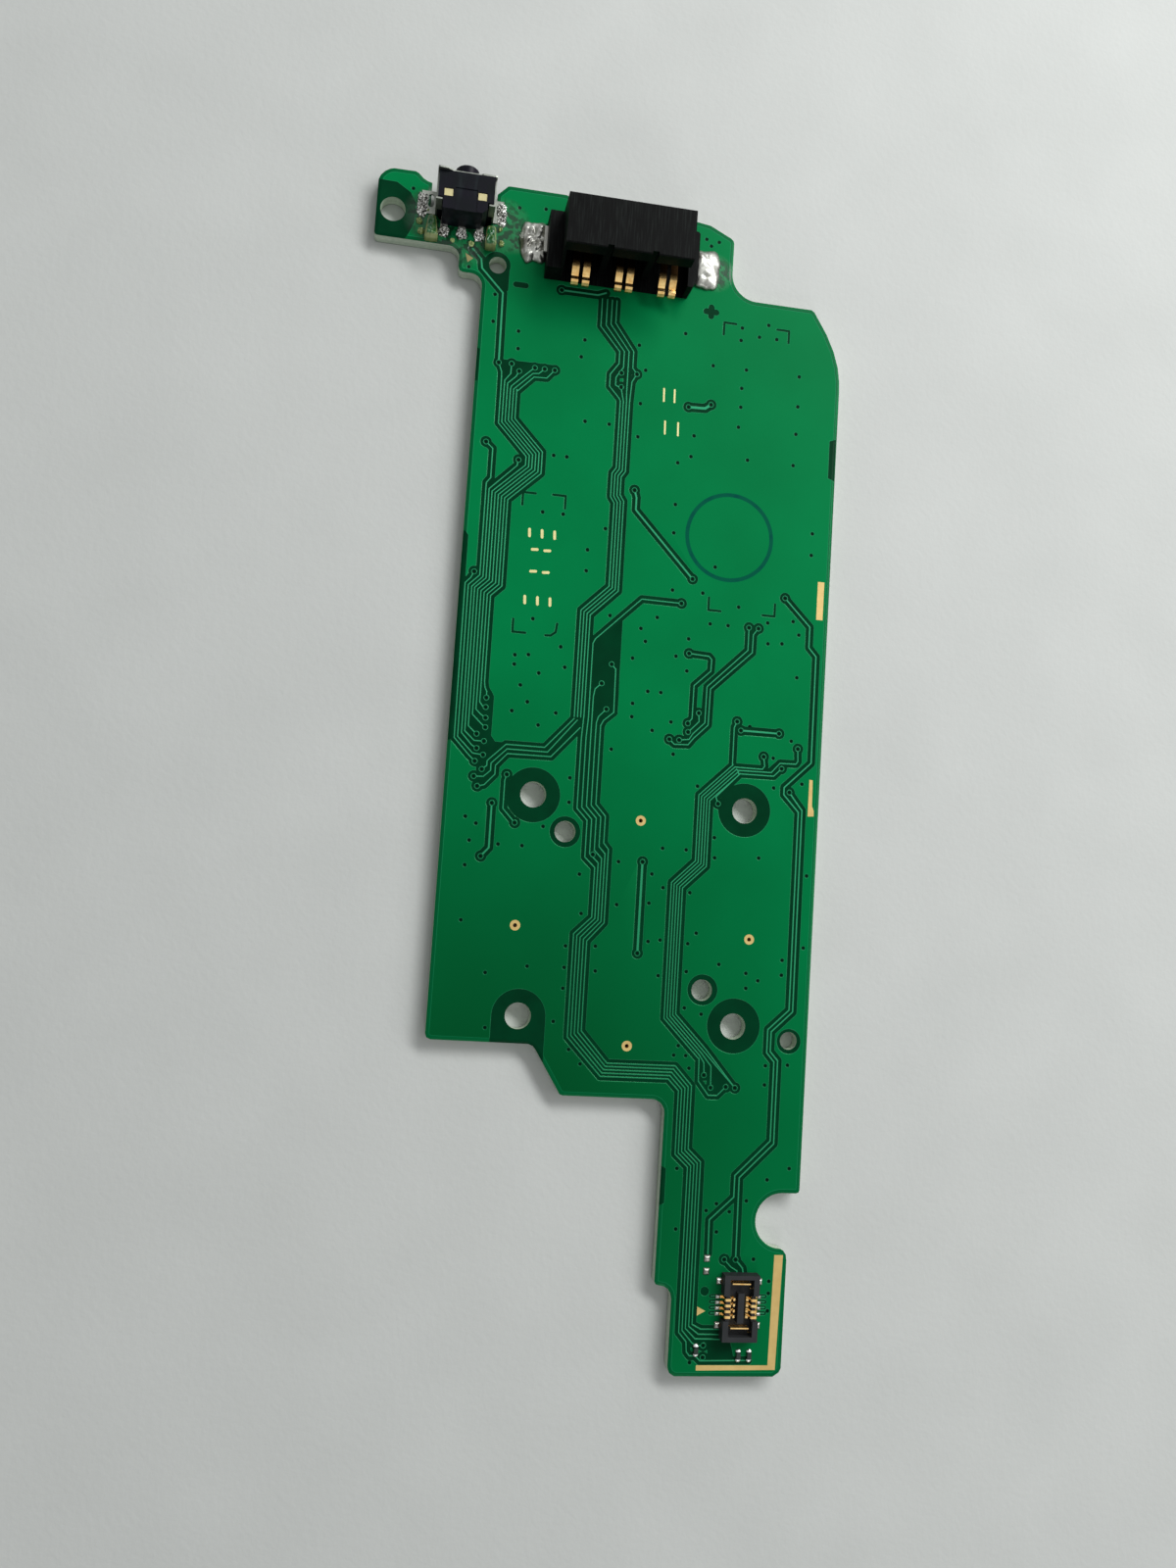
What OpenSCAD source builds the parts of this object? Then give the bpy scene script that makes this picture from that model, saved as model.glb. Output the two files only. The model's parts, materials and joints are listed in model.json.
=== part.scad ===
// Button board of a handheld game console: a notched, tailed circuit board with a side-push
// switch, a three-way battery socket and a fine-pitch board-to-board socket.
// Millimetres. Origin: centre of the four guide holes, on the underside. +Z leaves the
// component side, +Y runs to the battery socket, +X to the long straight edge.

/* [Board] */
// Thickness of the laminate with its mask
board_t = 1.0; // [0.6:0.1:1.6]
// X of the straight right edge
edge_right = 13.76; // [13:0.01:14.5]
// X of the straight left edge
edge_left = -14.52; // [-15:0.01:-14]
// Height of exposed plated copper over the mask
plate_h = 0.04; // [0.02:0.01:0.08]
// Pitch of the square of guide holes
guide_pitch = 16.0; // [15:0.1:17]
// Radius of each guide hole
guide_r = 0.95; // [0.8:0.05:1.1]
// Radius of the two locating holes near the edges
locate_r = 0.65; // [0.5:0.05:0.8]
// Radius of the two tooling holes beside the guide holes
tool_r = 0.78; // [0.6:0.02:0.9]
// Radius of the screw hole in the ear
ear_hole_r = 0.93; // [0.8:0.01:1.2]
// Radius of the half-round screw notch in the tail
notch_r = 2.0; // [1.8:0.05:2.2]

/* [Keys] */
// Distance between the west and east key centres
key_dx = 17.54; // [16:0.02:19]
// Distance between the south and north key centres
key_dy = 16.46; // [15:0.02:18]
// Outer radius of a key contact area on the underside
key_r = 3.2; // [2.5:0.1:4]
// Width of one comb finger
finger_w = 0.34; // [0.2:0.02:0.5]
// Bore of the plated air vent in a key
vent_r = 0.15; // [0.1:0.01:0.2]

/* [Battery socket] */
// Height of the roof over the board
bat_h = 4.86; // [4:0.02:5.5]
// Height of the side flanges over the board
bat_flange_h = 2.0; // [1.5:0.1:2.5]
// Pitch of the three blade contacts
bat_pitch = 3.32; // [3:0.02:3.6]
// Sheet thickness of a battery contact
bat_sheet = 0.2; // [0.15:0.01:0.24]
// Width of one of the two fingers of a battery contact
bat_finger = 0.53; // [0.4:0.01:0.6]

/* [Switch] */
// Height of the switch body over the board
sw_h = 2.5; // [2:0.1:3]
// Radius of the push plunger
plunger_r = 0.87; // [0.7:0.01:1]
// Reach of the plunger in front of the body
plunger_out = 1.08; // [0.7:0.01:1.2]
// Push travel of the plunger
plunger_travel = 0.25; // [0.15:0.01:0.4]
// Running clearance round the plunger
plunger_gap = 0.05; // [0.03:0.01:0.1]
// Pitch of the three rear terminals
term_pitch = 1.33; // [1.2:0.01:1.4]

/* [Board-to-board socket] */
// Pitch of the contacts
flex_pitch = 0.4; // [0.4:0.05:0.5]
// Housing length along Y
flex_len = 4.66; // [4.2:0.02:5]
// Housing width along X
flex_wid = 2.62; // [2.2:0.02:3]
// Housing height
flex_h = 0.9; // [0.7:0.05:1.2]

/* [Hidden] */
top = board_t;
key_cx = 0.11;
key_cy = -1.55;
key_n = [key_cx, key_cy + key_dy / 2];
key_s = [key_cx, key_cy - key_dy / 2];
key_w = [key_cx - key_dx / 2, key_cy];
key_e = [key_cx + key_dx / 2, key_cy];
liner_r = vent_r + 0.05;

bat_cx = -4.18;
bat_mid = -3.98;
bat_x0 = -9.92;
bat_x1 = 1.52;
bat_y0 = 47.0;
bat_y1 = 51.4;
roof_x0 = -8.92;
roof_x1 = 0.57;
roof_y0 = 47.6;
roof_lo = 3.63;

sw_x0 = -18.28;
sw_x1 = -14.18;
sw_cx = (sw_x0 + sw_x1) / 2;
sw_front = 53.02;
sw_step = 50.87;
sw_rear = 50.03;
sw_rx0 = -17.9;
sw_rx1 = -14.62;
sw_lo = 0.1;
axis_z = 1.75;
cavity_r = 1.2;
win_y0 = 50.97;
win_y1 = 51.56;
term_mid = -16.33;

flex_cx = 9.52;
flex_cy = -27.97;

sheet = 0.1;

mask_c = [0.02, 0.32, 0.16];
gold_c = [0.80, 0.64, 0.34];
tin_c = [0.78, 0.78, 0.76];
black_c = [0.05, 0.05, 0.055];
navy_c = [0.06, 0.06, 0.09];
beige_c = [0.80, 0.76, 0.58];
grey_c = [0.17, 0.17, 0.18];

// ---------- helpers ----------

// Box given by two opposite corners
module box(a, b) {
    translate(a)
        cube([b[0] - a[0], b[1] - a[1], b[2] - a[2]]);
}

// Quarter disc that rounds an inner corner: centre c lies outside the board
module inner_round(c, r, dx, dy) {
    intersection() {
        translate([min(c[0], c[0] + dx * (r + 1)), min(c[1], c[1] + dy * (r + 1))])
            square([r + 1, r + 1]);
        translate(c)
            circle(r = r, $fn = 96);
    }
}

// Cushion of set solder: half widths w and l, height h, standing on z0
module pillow(x, y, z0, w, l, h) {
    ra = (w * w + h * h) / (2 * h);
    rb = (l * l + h * h) / (2 * h);
    intersection() {
        translate([x, y, z0 + h - ra])
            rotate([90, 0, 0])
                cylinder(r = ra, h = 2 * l, center = true, $fn = 72);
        translate([x, y, z0 + h - rb])
            rotate([0, 90, 0])
                cylinder(r = rb, h = 2 * w, center = true, $fn = 72);
        box([x - w, y - l, z0], [x + w, y + l, z0 + h]);
    }
}

// ---------- board ----------

module outline() {
    difference() {
        polygon([
                [-22.72, 48.75], [-22.72, 52.80], [-22.58, 53.18], [-22.30, 53.52],
                [-21.95, 53.75], [-21.62, 53.85], [-20.05, 53.87], [-19.80, 53.76],
                [-19.42, 53.40], [-19.12, 53.24], [-18.76, 53.15], [-18.76, 51.20],
                [-17.95, 50.35], [-14.55, 50.35], [-13.84, 50.95], [-13.84, 53.02],
                [-13.10, 53.78], [-12.95, 53.82], [-8.60, 53.82], [-8.25, 53.66],
                [-8.05, 53.32], [1.70, 53.28], [2.74, 53.14], [4.42, 52.36],
                [4.62, 52.18], [4.68, 51.98], [4.68, 49.57], [6.70, 47.55], [11.22, 47.55],
                [11.45, 47.38], [11.84, 46.78], [12.52, 45.73], [13.17, 44.39],
                [13.55, 43.19], [13.72, 42.10], [edge_right, 41.20],
                [edge_right, -19.68], [13.68, -19.85], [13.50, -19.92],
                [12.50, -19.92], [12.50, -23.92], [12.75, -24.05], [12.95, -24.32],
                [13.02, -24.75], [13.00, -32.38], [12.86, -32.68], [12.40, -32.98],
                [5.05, -32.98], [4.68, -32.75], [4.52, -32.35], [4.52, -27.60],
                [4.42, -27.18], [4.20, -26.88], [3.92, -26.72], [3.55, -26.66],
                [3.30, -26.58], [3.20, -26.38], [3.20, -14.50], [2.20, -13.50], [-4.35, -13.50],
                [-4.60, -13.42], [-6.55, -10.35], [-6.78, -10.08], [-7.12, -9.96],
                [-14.12, -9.95], [-14.42, -9.82], [edge_left, -9.52],
                [edge_left, 45.75], [edge_left - 0.88, 46.63], [-16.02, 46.63],
                [-16.26, 46.73], [-16.36, 46.98], [-16.36, 47.69], [-17.20, 48.53],
                [-22.50, 48.53], [-22.66, 48.60]]);
        inner_round([6.70, 49.57], 2.02, -1, -1);
        inner_round([2.20, -14.50], 1.0, 1, 1);
        inner_round([edge_left - 0.88, 45.75], 0.88, 1, 1);
        inner_round([-17.20, 47.69], 0.84, 1, 1);
        translate([12.50, -21.92])
            circle(r = notch_r, $fn = 128);
    }
}

module pcb() {
    color(mask_c)
    linear_extrude(height = board_t)
    difference() {
        outline();
        for (sx = [-1, 1])
            for (sy = [-1, 1])
                translate([sx * guide_pitch / 2, sy * guide_pitch / 2])
                    circle(r = guide_r, $fn = 72);
        translate([-21.50, 50.70])
            circle(r = ear_hole_r, $fn = 72);
        translate([-13.44, 47.54])
            circle(r = locate_r, $fn = 64);
        translate([12.32, -8.85])
            circle(r = locate_r, $fn = 64);
        translate([-5.48, 5.47])
            circle(r = tool_r, $fn = 64);
        translate([5.48, -5.47])
            circle(r = tool_r, $fn = 64);
        for (k = [key_n, key_e, key_s, key_w])
            translate(k)
                circle(r = liner_r, $fn = 32);
    }
}

// ---------- exposed plated copper ----------

module plating(pts) {
    color(gold_c)
    translate([0, 0, top])
        linear_extrude(height = plate_h)
            polygon(pts);
}

module ground_strip() {
    plating([[6.63, -32.57], [12.55, -32.50], [12.74, -24.36], [12.08, -24.36],
        [11.98, -32.18], [6.63, -32.20]]);
}

module edge_pad_upper() {
    plating([[12.82, 23.08], [13.34, 23.08], [13.34, 26.05], [12.82, 26.05]]);
}

module edge_pad_lower() {
    plating([[12.93, 7.95], [13.40, 7.98], [13.40, 8.40], [13.24, 8.75],
        [13.20, 10.72], [12.93, 10.75]]);
}

module index_mark_switch() {
    plating([[-15.92, 48.12], [-15.30, 47.78], [-15.72, 47.42]]);
}

module index_mark_flex() {
    plating([[6.48, -28.10], [7.10, -28.40], [6.48, -28.74]]);
}

// Plated air vent: a barrel through the board with a ring on the component side
module vent_ring(k) {
    color(gold_c)
    translate([k[0], k[1], 0])
    difference() {
        union() {
            cylinder(r = liner_r, h = top + plate_h, $fn = 32);
            translate([0, 0, top])
                cylinder(r = 0.38, h = plate_h, $fn = 48);
        }
        translate([0, 0, -0.1])
            cylinder(r = vent_r, h = top + 0.3, $fn = 32);
    }
}

module vent_ring_north() { vent_ring(key_n); }
module vent_ring_east() { vent_ring(key_e); }
module vent_ring_south() { vent_ring(key_s); }
module vent_ring_west() { vent_ring(key_w); }

// One comb: a half-ring bus on the +X side with fingers reaching from it towards -X
module comb() {
    pitch = 2 * (finger_w + 0.26);
    bus = 0.45;
    difference() {
        intersection() {
            circle(r = key_r, $fn = 96);
            union() {
                translate([0.35, -key_r])
                    square([key_r, 2 * key_r]);
                for (i = [-2 : 2])
                    translate([-key_r, (i + 0.25) * pitch - finger_w / 2])
                        square([key_r + 0.5, finger_w]);
            }
        }
        // gaps between the fingers, on the bus side
        intersection() {
            circle(r = key_r - bus, $fn = 96);
            for (i = [-3 : 2])
                translate([0.2, (i + 0.25) * pitch + finger_w / 2])
                    square([key_r, pitch - finger_w]);
        }
        // the far ends stop short of the other comb's bus
        difference() {
            translate([-key_r - 1, -key_r - 1])
                square([key_r + 1.3, 2 * key_r + 2]);
            circle(r = key_r - bus - 0.28, $fn = 96);
        }
        // clear of the vent
        translate([-key_r - 1, 0.25 * pitch - finger_w])
            square([key_r + 1.55, 2 * finger_w]);
        circle(r = 0.55, $fn = 48);
    }
}

module key_pad(k) {
    color(gold_c)
    translate([k[0], k[1], -plate_h])
    linear_extrude(height = plate_h) {
        comb();
        rotate([0, 0, 180])
            comb();
    }
}

module key_pad_north() { key_pad(key_n); }
module key_pad_east() { key_pad(key_e); }
module key_pad_south() { key_pad(key_s); }
module key_pad_west() { key_pad(key_w); }

// ---------- battery socket ----------

function bat_x(i) = bat_mid + i * bat_pitch;

module battery_socket_housing() {
    fz = top + bat_flange_h;
    difference() {
        color(black_c)
        union() {
            // low body with its clipped front right corner
            translate([0, 0, top])
                linear_extrude(height = bat_flange_h)
                    polygon([[bat_x0, bat_y0], [1.14, bat_y0], [bat_x1, 47.75],
                        [bat_x1, bat_y1 - 0.15], [bat_x1 - 0.15, bat_y1],
                        [bat_x0, bat_y1]]);
            // tall body, its side walls raked forward below the roof
            translate([roof_x0, 0, 0])
                rotate([90, 0, 90])
                    linear_extrude(height = roof_x1 - roof_x0)
                        polygon([[bat_y0 + 0.05, top + 1.0], [bat_y0 + 0.05, fz],
                            [roof_y0, top + roof_lo], [roof_y0, top + bat_h - 0.08],
                            [roof_y0 + 0.08, top + bat_h], [bat_y1 - 0.08, top + bat_h],
                            [bat_y1, top + bat_h - 0.08], [bat_y1, top + 1.0]]);
        }
        // three blade chambers, open to the front
        for (i = [-1, 0, 1])
            box([bat_x(i) - 1.42, bat_y0 - 1, top + 0.1],
                [bat_x(i) + 1.42, 50.72, top + roof_lo]);
        // front of the dividers stands back from the mouth
        box([bat_x(-1), bat_y0 - 1, top + 0.1], [bat_x(1), 47.95, top + roof_lo]);
        // notches in the roof's front edge over the dividers
        for (i = [-0.5, 0.5])
            box([bat_x(i) - 0.24, roof_y0 - 0.5, top + roof_lo - 0.2],
                [bat_x(i) + 0.24, roof_y0 + 0.22, top + bat_h + 1]);
        // slots for the contact tails in the rear wall
        for (i = [-1, 0, 1])
            box([bat_x(i) - 0.45, 50.2, top - 0.1],
                [bat_x(i) + 0.45, bat_y1 + 1, top + 0.35]);
        // shallow pockets that take the hold-down tabs
        box([bat_x0 - 1, 48.75, top - 0.1], [bat_x0 + 0.4, 50.85, top + 0.25]);
        box([bat_x1 - 0.4, 48.75, top - 0.1], [bat_x1 + 1, 50.85, top + 0.25]);
    }
}

// Section of one contact finger: rear riser, level beam, slope, trough and curled tip
module finger_section() {
    t = bat_sheet - 0.04;
    polygon([[50.60, 0.15], [50.60, 1.50], [50.44, 1.66], [50.20, 1.70], [48.00, 1.64],
        [47.56, 1.54], [47.12, 1.24], [46.98, 1.19], [46.86, 1.25], [46.70, 1.26],
        [46.54, 1.16], [46.42, 0.96], [46.42, 0.74],
        [46.42 + t, 0.74], [46.42 + t, 0.92], [46.66, 1.26 - t], [46.78, 1.23 - t],
        [46.98, 1.17 - t], [47.20, 1.22 - t], [47.64, 1.53 - t], [48.02, 1.64 - t],
        [50.20, 1.70 - t], [50.60 - t, 1.48], [50.60 - t, 0.15]]);
}

module battery_contact(i) {
    color(gold_c)
    translate([bat_x(i), 0, top])
    union() {
        for (x = [-0.15 - bat_finger, 0.15])
            translate([x, 0, 0])
                rotate([90, 0, 90])
                    linear_extrude(height = bat_finger)
                        finger_section();
        // rear plate that joins the two fingers
        box([-0.15 - bat_finger, 50.44, 0.15], [0.15 + bat_finger, 50.60, 1.30]);
        // solder tail that leaves under the rear wall
        box([-0.35, 50.40, 0], [0.35, bat_y1 + 0.75, bat_sheet]);
    }
}

module battery_contact_left() { battery_contact(-1); }
module battery_contact_centre() { battery_contact(0); }
module battery_contact_right() { battery_contact(1); }

module battery_tab_left() {
    color(tin_c)
    union() {
        box([-11.35, 48.80, top], [bat_x0 + 0.35, 50.80, top + 0.2]);
        box([-10.15, 48.80, top + 0.1], [bat_x0, 50.80, top + 0.7]);
    }
}

module battery_tab_right() {
    color(tin_c)
    union() {
        box([bat_x1 - 0.35, 48.80, top], [2.95, 50.80, top + 0.2]);
        box([bat_x1, 48.80, top + 0.1], [1.75, 50.80, top + 0.7]);
    }
}

module battery_solder_left() {
    color(tin_c)
    difference() {
        pillow(-10.45, 49.70, top, 1.65, 1.58, 0.95);
        box([bat_x0, 47, 0], [-8, 52, 5]);
        battery_tab_left();
    }
}

module battery_solder_right() {
    color(tin_c)
    difference() {
        pillow(2.35, 49.50, top, 1.42, 1.60, 0.90);
        box([0, 47, 0], [bat_x1, 52, 5]);
        battery_tab_right();
    }
}

// ---------- side-push switch ----------

// Round bar along +Y, from y0 to y1 on the plunger's axis
module y_bar(r, y0, y1) {
    translate([sw_cx, y0, axis_z])
        rotate([-90, 0, 0])
            cylinder(r = r, h = y1 - y0, $fn = 72);
}

module switch_housing() {
    color(navy_c)
    difference() {
        union() {
            box([sw_x0, sw_step, sw_lo], [sw_x1, sw_front - 0.12, top + sw_h]);
            box([sw_rx0, sw_rear, top + 0.02], [sw_rx1, sw_step + 0.1, top + sw_h]);
            box([sw_rx0 + 0.2, 50.38, sw_lo], [sw_rx1 - 0.2, sw_step + 0.1, top + 0.1]);
        }
        // plunger bore and the dome chamber behind it
        y_bar(plunger_r + plunger_gap, sw_step, sw_front + 1);
        y_bar(cavity_r, 50.72, 52.42);
        // windows over the base's latches
        for (w = [-17.86, -15.38])
            box([w, win_y0, top + 1.6], [w + 0.68, win_y1, top + sw_h + 1]);
        // shallow band down the middle of the roof
        box([-17.05, sw_rear - 1, top + sw_h - 0.06], [-15.40, 51.70, top + sw_h + 1]);
        // clipped rear corner
        translate([sw_rx1, sw_rear, top])
            rotate([0, 0, 45])
                cube([0.5, 0.5, 8], center = true);
        // slots of the rear terminals
        for (i = [-1, 0, 1])
            box([term_x(i) - 0.26, sw_rear - 1, top - 0.01], [term_x(i) + 0.26, 50.64, top + 0.16]);
        // ledges that seat the base
        box([-17.95, 50.88, 0], [-17.10, 51.68, top + 1.62]);
        box([-15.36, 50.88, 0], [-14.50, 51.68, top + 1.62]);
    }
}

// Moulded insulator: the two latch posts seen in the windows
module switch_base() {
    color(beige_c)
    union() {
        for (w = [-17.86, -15.38]) {
            box([w + 0.02, win_y0 + 0.02, top + 1.5],
                [w + 0.66, win_y1 - 0.02, top + sw_h - 0.05]);
        }
        box([-17.84, win_y0 + 0.02, sw_lo + 0.05], [-17.50, win_y1 + 0.07, top + 1.55]);
        box([-15.00, win_y0 + 0.02, sw_lo + 0.05], [-14.72, win_y1 + 0.07, top + 1.55]);
    }
}

module switch_plunger() {
    r0 = sw_front + plunger_out;
    color(black_c)
    union() {
        y_bar(plunger_r, 52.20, r0 - 0.12);
        translate([sw_cx, r0 - 0.12, axis_z])
            rotate([-90, 0, 0])
                cylinder(r1 = plunger_r, r2 = plunger_r - 0.12, h = 0.12, $fn = 72);
        y_bar(1.10, 51.98, 52.38);
        y_bar(0.40, 51.60, 52.00);
    }
}

// Snap dome, crown towards the plunger
module switch_dome() {
    ro = 1.55;
    color(tin_c)
    translate([sw_cx, 0, axis_z])
    difference() {
        intersection() {
            translate([0, 51.29 - ro, 0])
                sphere(r = ro, $fn = 96);
            rotate([-90, 0, 0])
                translate([0, 0, 50.76])
                    cylinder(r = 1.0, h = 2, $fn = 96);
        }
        translate([0, 51.29 - ro, 0])
            sphere(r = ro - 0.06, $fn = 96);
    }
}

// Folded sheet: plate across the front, an arm down each flank, feet on the board pads and
// end tabs folded in behind the shoulders
module frame_foot(x_out, x_arm, slot_x, slot_w) {
    difference() {
        box([min(x_out, x_arm), 50.70, top], [max(x_out, x_arm), 52.45, top + 0.12]);
        translate([slot_x, 51.72, top]) {
            cube([slot_w, 0.56, 1], center = true);
            translate([0, 0.28, -0.5])
                cylinder(r = slot_w / 2, h = 1, $fn = 32);
            translate([0, -0.28, -0.5])
                cylinder(r = slot_w / 2, h = 1, $fn = 32);
        }
    }
}

module switch_frame() {
    t = 0.12;
    lo = top - 0.4;
    color(tin_c)
    difference() {
        union() {
            // front plate, its left corner bent up and its edge dipped over the plunger
            translate([0, sw_front, 0])
                rotate([90, 0, 0])
                    linear_extrude(height = t)
                        polygon([[sw_x0 - t, lo], [sw_x1 + t, lo], [sw_x1 + t, top + sw_h],
                            [sw_x1, top + sw_h + 0.03], [-15.10, top + sw_h + 0.03],
                            [-15.25, top + sw_h - 0.10], [-17.15, top + sw_h - 0.10],
                            [-17.70, top + sw_h + 0.26], [sw_x0, top + sw_h + 0.30],
                            [sw_x0 - t, top + sw_h + 0.26]]);
            for (x = [sw_x0 - t, sw_x1]) {
                box([x, 50.70, top], [x + t, sw_front, top + 2.1]);
                box([x, 51.30, lo], [x + t, sw_front, top + 0.1]);
            }
            box([sw_x0 - t, 50.70, top + 0.9], [sw_x0 + 0.33, 50.70 + t, top + 2.42]);
            box([sw_x1 - 0.33, 50.70, top + 0.9], [sw_x1 + t, 50.70 + t, top + 2.42]);
            frame_foot(-19.45, sw_x0, -18.75, 0.44);
            frame_foot(-13.33, sw_x1, -13.72, 0.22);
        }
        // hole for the plunger
        y_bar(plunger_r + 0.08, sw_front - 1, sw_front + 1);
    }
}

function term_x(i) = term_mid + i * term_pitch;

module switch_terminal(i) {
    color(tin_c)
    translate([term_x(i), 0, 0])
    box([-0.26, 49.35, top], [0.26, sw_rear + 0.60, top + 0.15]);
}

module switch_terminal_left() { switch_terminal(-1); }
module switch_terminal_centre() { switch_terminal(0); }
module switch_terminal_right() { switch_terminal(1); }

module switch_solder_left() {
    color(tin_c)
    difference() {
        pillow(-19.36, 51.40, top, 0.42, 0.98, 0.42);
        switch_frame();
    }
}

module switch_solder_right() {
    color(tin_c)
    difference() {
        pillow(-13.42, 51.46, top, 0.36, 0.92, 0.40);
        switch_frame();
    }
}

module switch_solder_rear() {
    color(tin_c)
    for (i = [-1, 0, 1])
        difference() {
            pillow(term_x(i), 49.58, top, 0.40, 0.42, 0.42);
            translate([term_x(i), 0, 0])
                box([-0.26, 49.35, top - 0.1], [0.26, sw_rear + 1, top + 0.15]);
        }
}

// ---------- board-to-board socket ----------

// Distance of an end clip from the middle of the socket
function clip_y(side) = side > 0 ? 1.70 : -1.40;

module flex_socket_housing() {
    w = flex_wid / 2;
    l = flex_len / 2;
    zone = 1.78 / 2;
    color(grey_c)
    translate([flex_cx, flex_cy, top])
    difference() {
        union() {
            difference() {
                box([-w, -l, 0], [w, l, flex_h]);
                // well for the plug
                box([-w + 0.42, -l + 0.36, 0.2], [w - 0.42, l - 0.30, flex_h + 1]);
                // side walls drop away at the contacts
                for (s = [-1, 1])
                    translate([s * (w + 0.5 - 0.43), 0, 0])
                        cube([1.0, 2 * zone, 4], center = true);
            }
            // cores the contacts wrap
            for (s = [-1, 1])
                translate([s * 0.96 - 0.14, -zone, 0.12])
                    cube([0.28, 2 * zone, 0.64]);
            // floor ledges that carry the cores
            box([-1.10, -zone, 0.12], [1.10, zone, 0.18]);
            // centre tongue
            box([-0.22, -1.04, 0.1], [0.24, 1.04, 0.78]);
        }
        // slots of the two end clips
        for (s = [-1, 1])
            translate([0, clip_y(s), 0]) {
                cube([4, 0.30, 0.27], center = true);
                box([-0.94, -0.50, -0.1], [0.94, 0, 0.135]);
                translate([0, 0, 0.5])
                    cube([1.44, 0.14, 1.2], center = true);
                for (x = [-0.80, 0.80])
                    translate([x, -0.40, 0])
                        cylinder(r = 0.07, h = 0.5, $fn = 24);
        }
        // slots of the contact feet
        for (i = [-1.5, -0.5, 0.5, 1.5])
            translate([0, i * flex_pitch, 0])
                for (s = [-1, 1])
                    translate([s * 1.0, 0, 0.15])
                        cube([1.24, 0.22, 0.31], center = true);
    }
}

// Section of a contact: outside foot, riser, saddle, drop, spring and tip
module contact_section() {
    polygon([[-1.62, 0], [-1.11, 0], [-1.11, 0.77], [-0.81, 0.77], [-0.81, 0.19],
        [-0.40, 0.19], [-0.40, 0.66], [-0.56, 0.72], [-0.60, 0.63], [-0.49, 0.58],
        [-0.49, 0.29], [-0.72, 0.29], [-0.72, 0.80], [-0.78, 0.87], [-1.14, 0.87],
        [-1.20, 0.80], [-1.20, 0.10], [-1.62, 0.10]]);
}

module flex_contact(i, side) {
    color(gold_c)
    translate([flex_cx, flex_cy + i * flex_pitch + 0.09, top])
    mirror([side > 0 ? 1 : 0, 0, 0])
    rotate([90, 0, 0])
        linear_extrude(height = 0.18)
            contact_section();
}

module flex_contact_w1() { flex_contact(1.5, -1); }
module flex_contact_w2() { flex_contact(0.5, -1); }
module flex_contact_w3() { flex_contact(-0.5, -1); }
module flex_contact_w4() { flex_contact(-1.5, -1); }
module flex_contact_e1() { flex_contact(1.5, 1); }
module flex_contact_e2() { flex_contact(0.5, 1); }
module flex_contact_e3() { flex_contact(-0.5, 1); }
module flex_contact_e4() { flex_contact(-1.5, 1); }

// End clip: foot strap under the well, blade and two pegs standing in it
module flex_clip(side) {
    color(gold_c)
    translate([flex_cx, flex_cy + clip_y(side), top])
    union() {
        box([-1.55, -0.13, 0], [1.55, 0.13, sheet]);
        box([-0.90, -0.47, 0], [0.90, 0, sheet]);
        box([-0.67, -0.045, 0], [0.67, 0.045, 0.74]);
        for (x = [-0.80, 0.80])
            translate([x, -0.40, 0.05])
                cylinder(r = 0.055, h = 0.26, $fn = 24);
    }
}

module flex_clip_north() { flex_clip(1); }
module flex_clip_south() { flex_clip(-1); }

module flex_solder(side) {
    color(tin_c)
    difference() {
        union() {
            for (i = [-1.5, -0.5, 0.5, 1.5])
                pillow(flex_cx + side * 1.52, flex_cy + i * flex_pitch, top, 0.21, 0.13, 0.17);
            for (i = [-1, 1])
                pillow(flex_cx + side * 1.52, flex_cy + clip_y(i), top, 0.20, 0.26, 0.22);
        }
        for (i = [-1.5, -0.5, 0.5, 1.5])
            box([flex_cx - 1.62, flex_cy + i * flex_pitch - 0.09, top - 0.1],
                [flex_cx + 1.62, flex_cy + i * flex_pitch + 0.09, top + 0.1]);
        for (i = [-1, 1])
            box([flex_cx - 1.55, flex_cy + clip_y(i) - 0.13, top - 0.1],
                [flex_cx + 1.55, flex_cy + clip_y(i) + 0.13, top + 0.1]);
        box([flex_cx - flex_wid / 2, flex_cy - 3, 0], [flex_cx + flex_wid / 2, flex_cy + 3, 5]);
    }
}

module flex_solder_west() { flex_solder(-1); }
module flex_solder_east() { flex_solder(1); }

// ---------- small parts beside the socket ----------

// Chip part of the 0201 size, its long side along Y, with its two end joints
module chip(x, y) {
    union() {
        color(black_c)
            box([x - 0.15, y - 0.19, top], [x + 0.15, y + 0.19, top + 0.24]);
        color(tin_c)
            for (s = [-1, 1])
                translate([x, y + s * 0.27, top])
                    intersection() {
                        translate([0, 0, -0.02])
                            sphere(r = 0.23, $fn = 48);
                        box([-0.19, -0.19, 0], [0.19, 0.19, 0.3]);
                    }
    }
}

module chip_a() { chip(6.54, -31.14); }
module chip_b() { chip(9.72, -31.48); }
module chip_c() { chip(10.52, -31.48); }

module spare_solder(y) {
    color(tin_c)
        pillow(7.01, y, top, 0.24, 0.26, 0.20);
}

module spare_solder_north() { spare_solder(-24.70); }
module spare_solder_south() { spare_solder(-25.60); }

// ---------- output ----------

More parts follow.
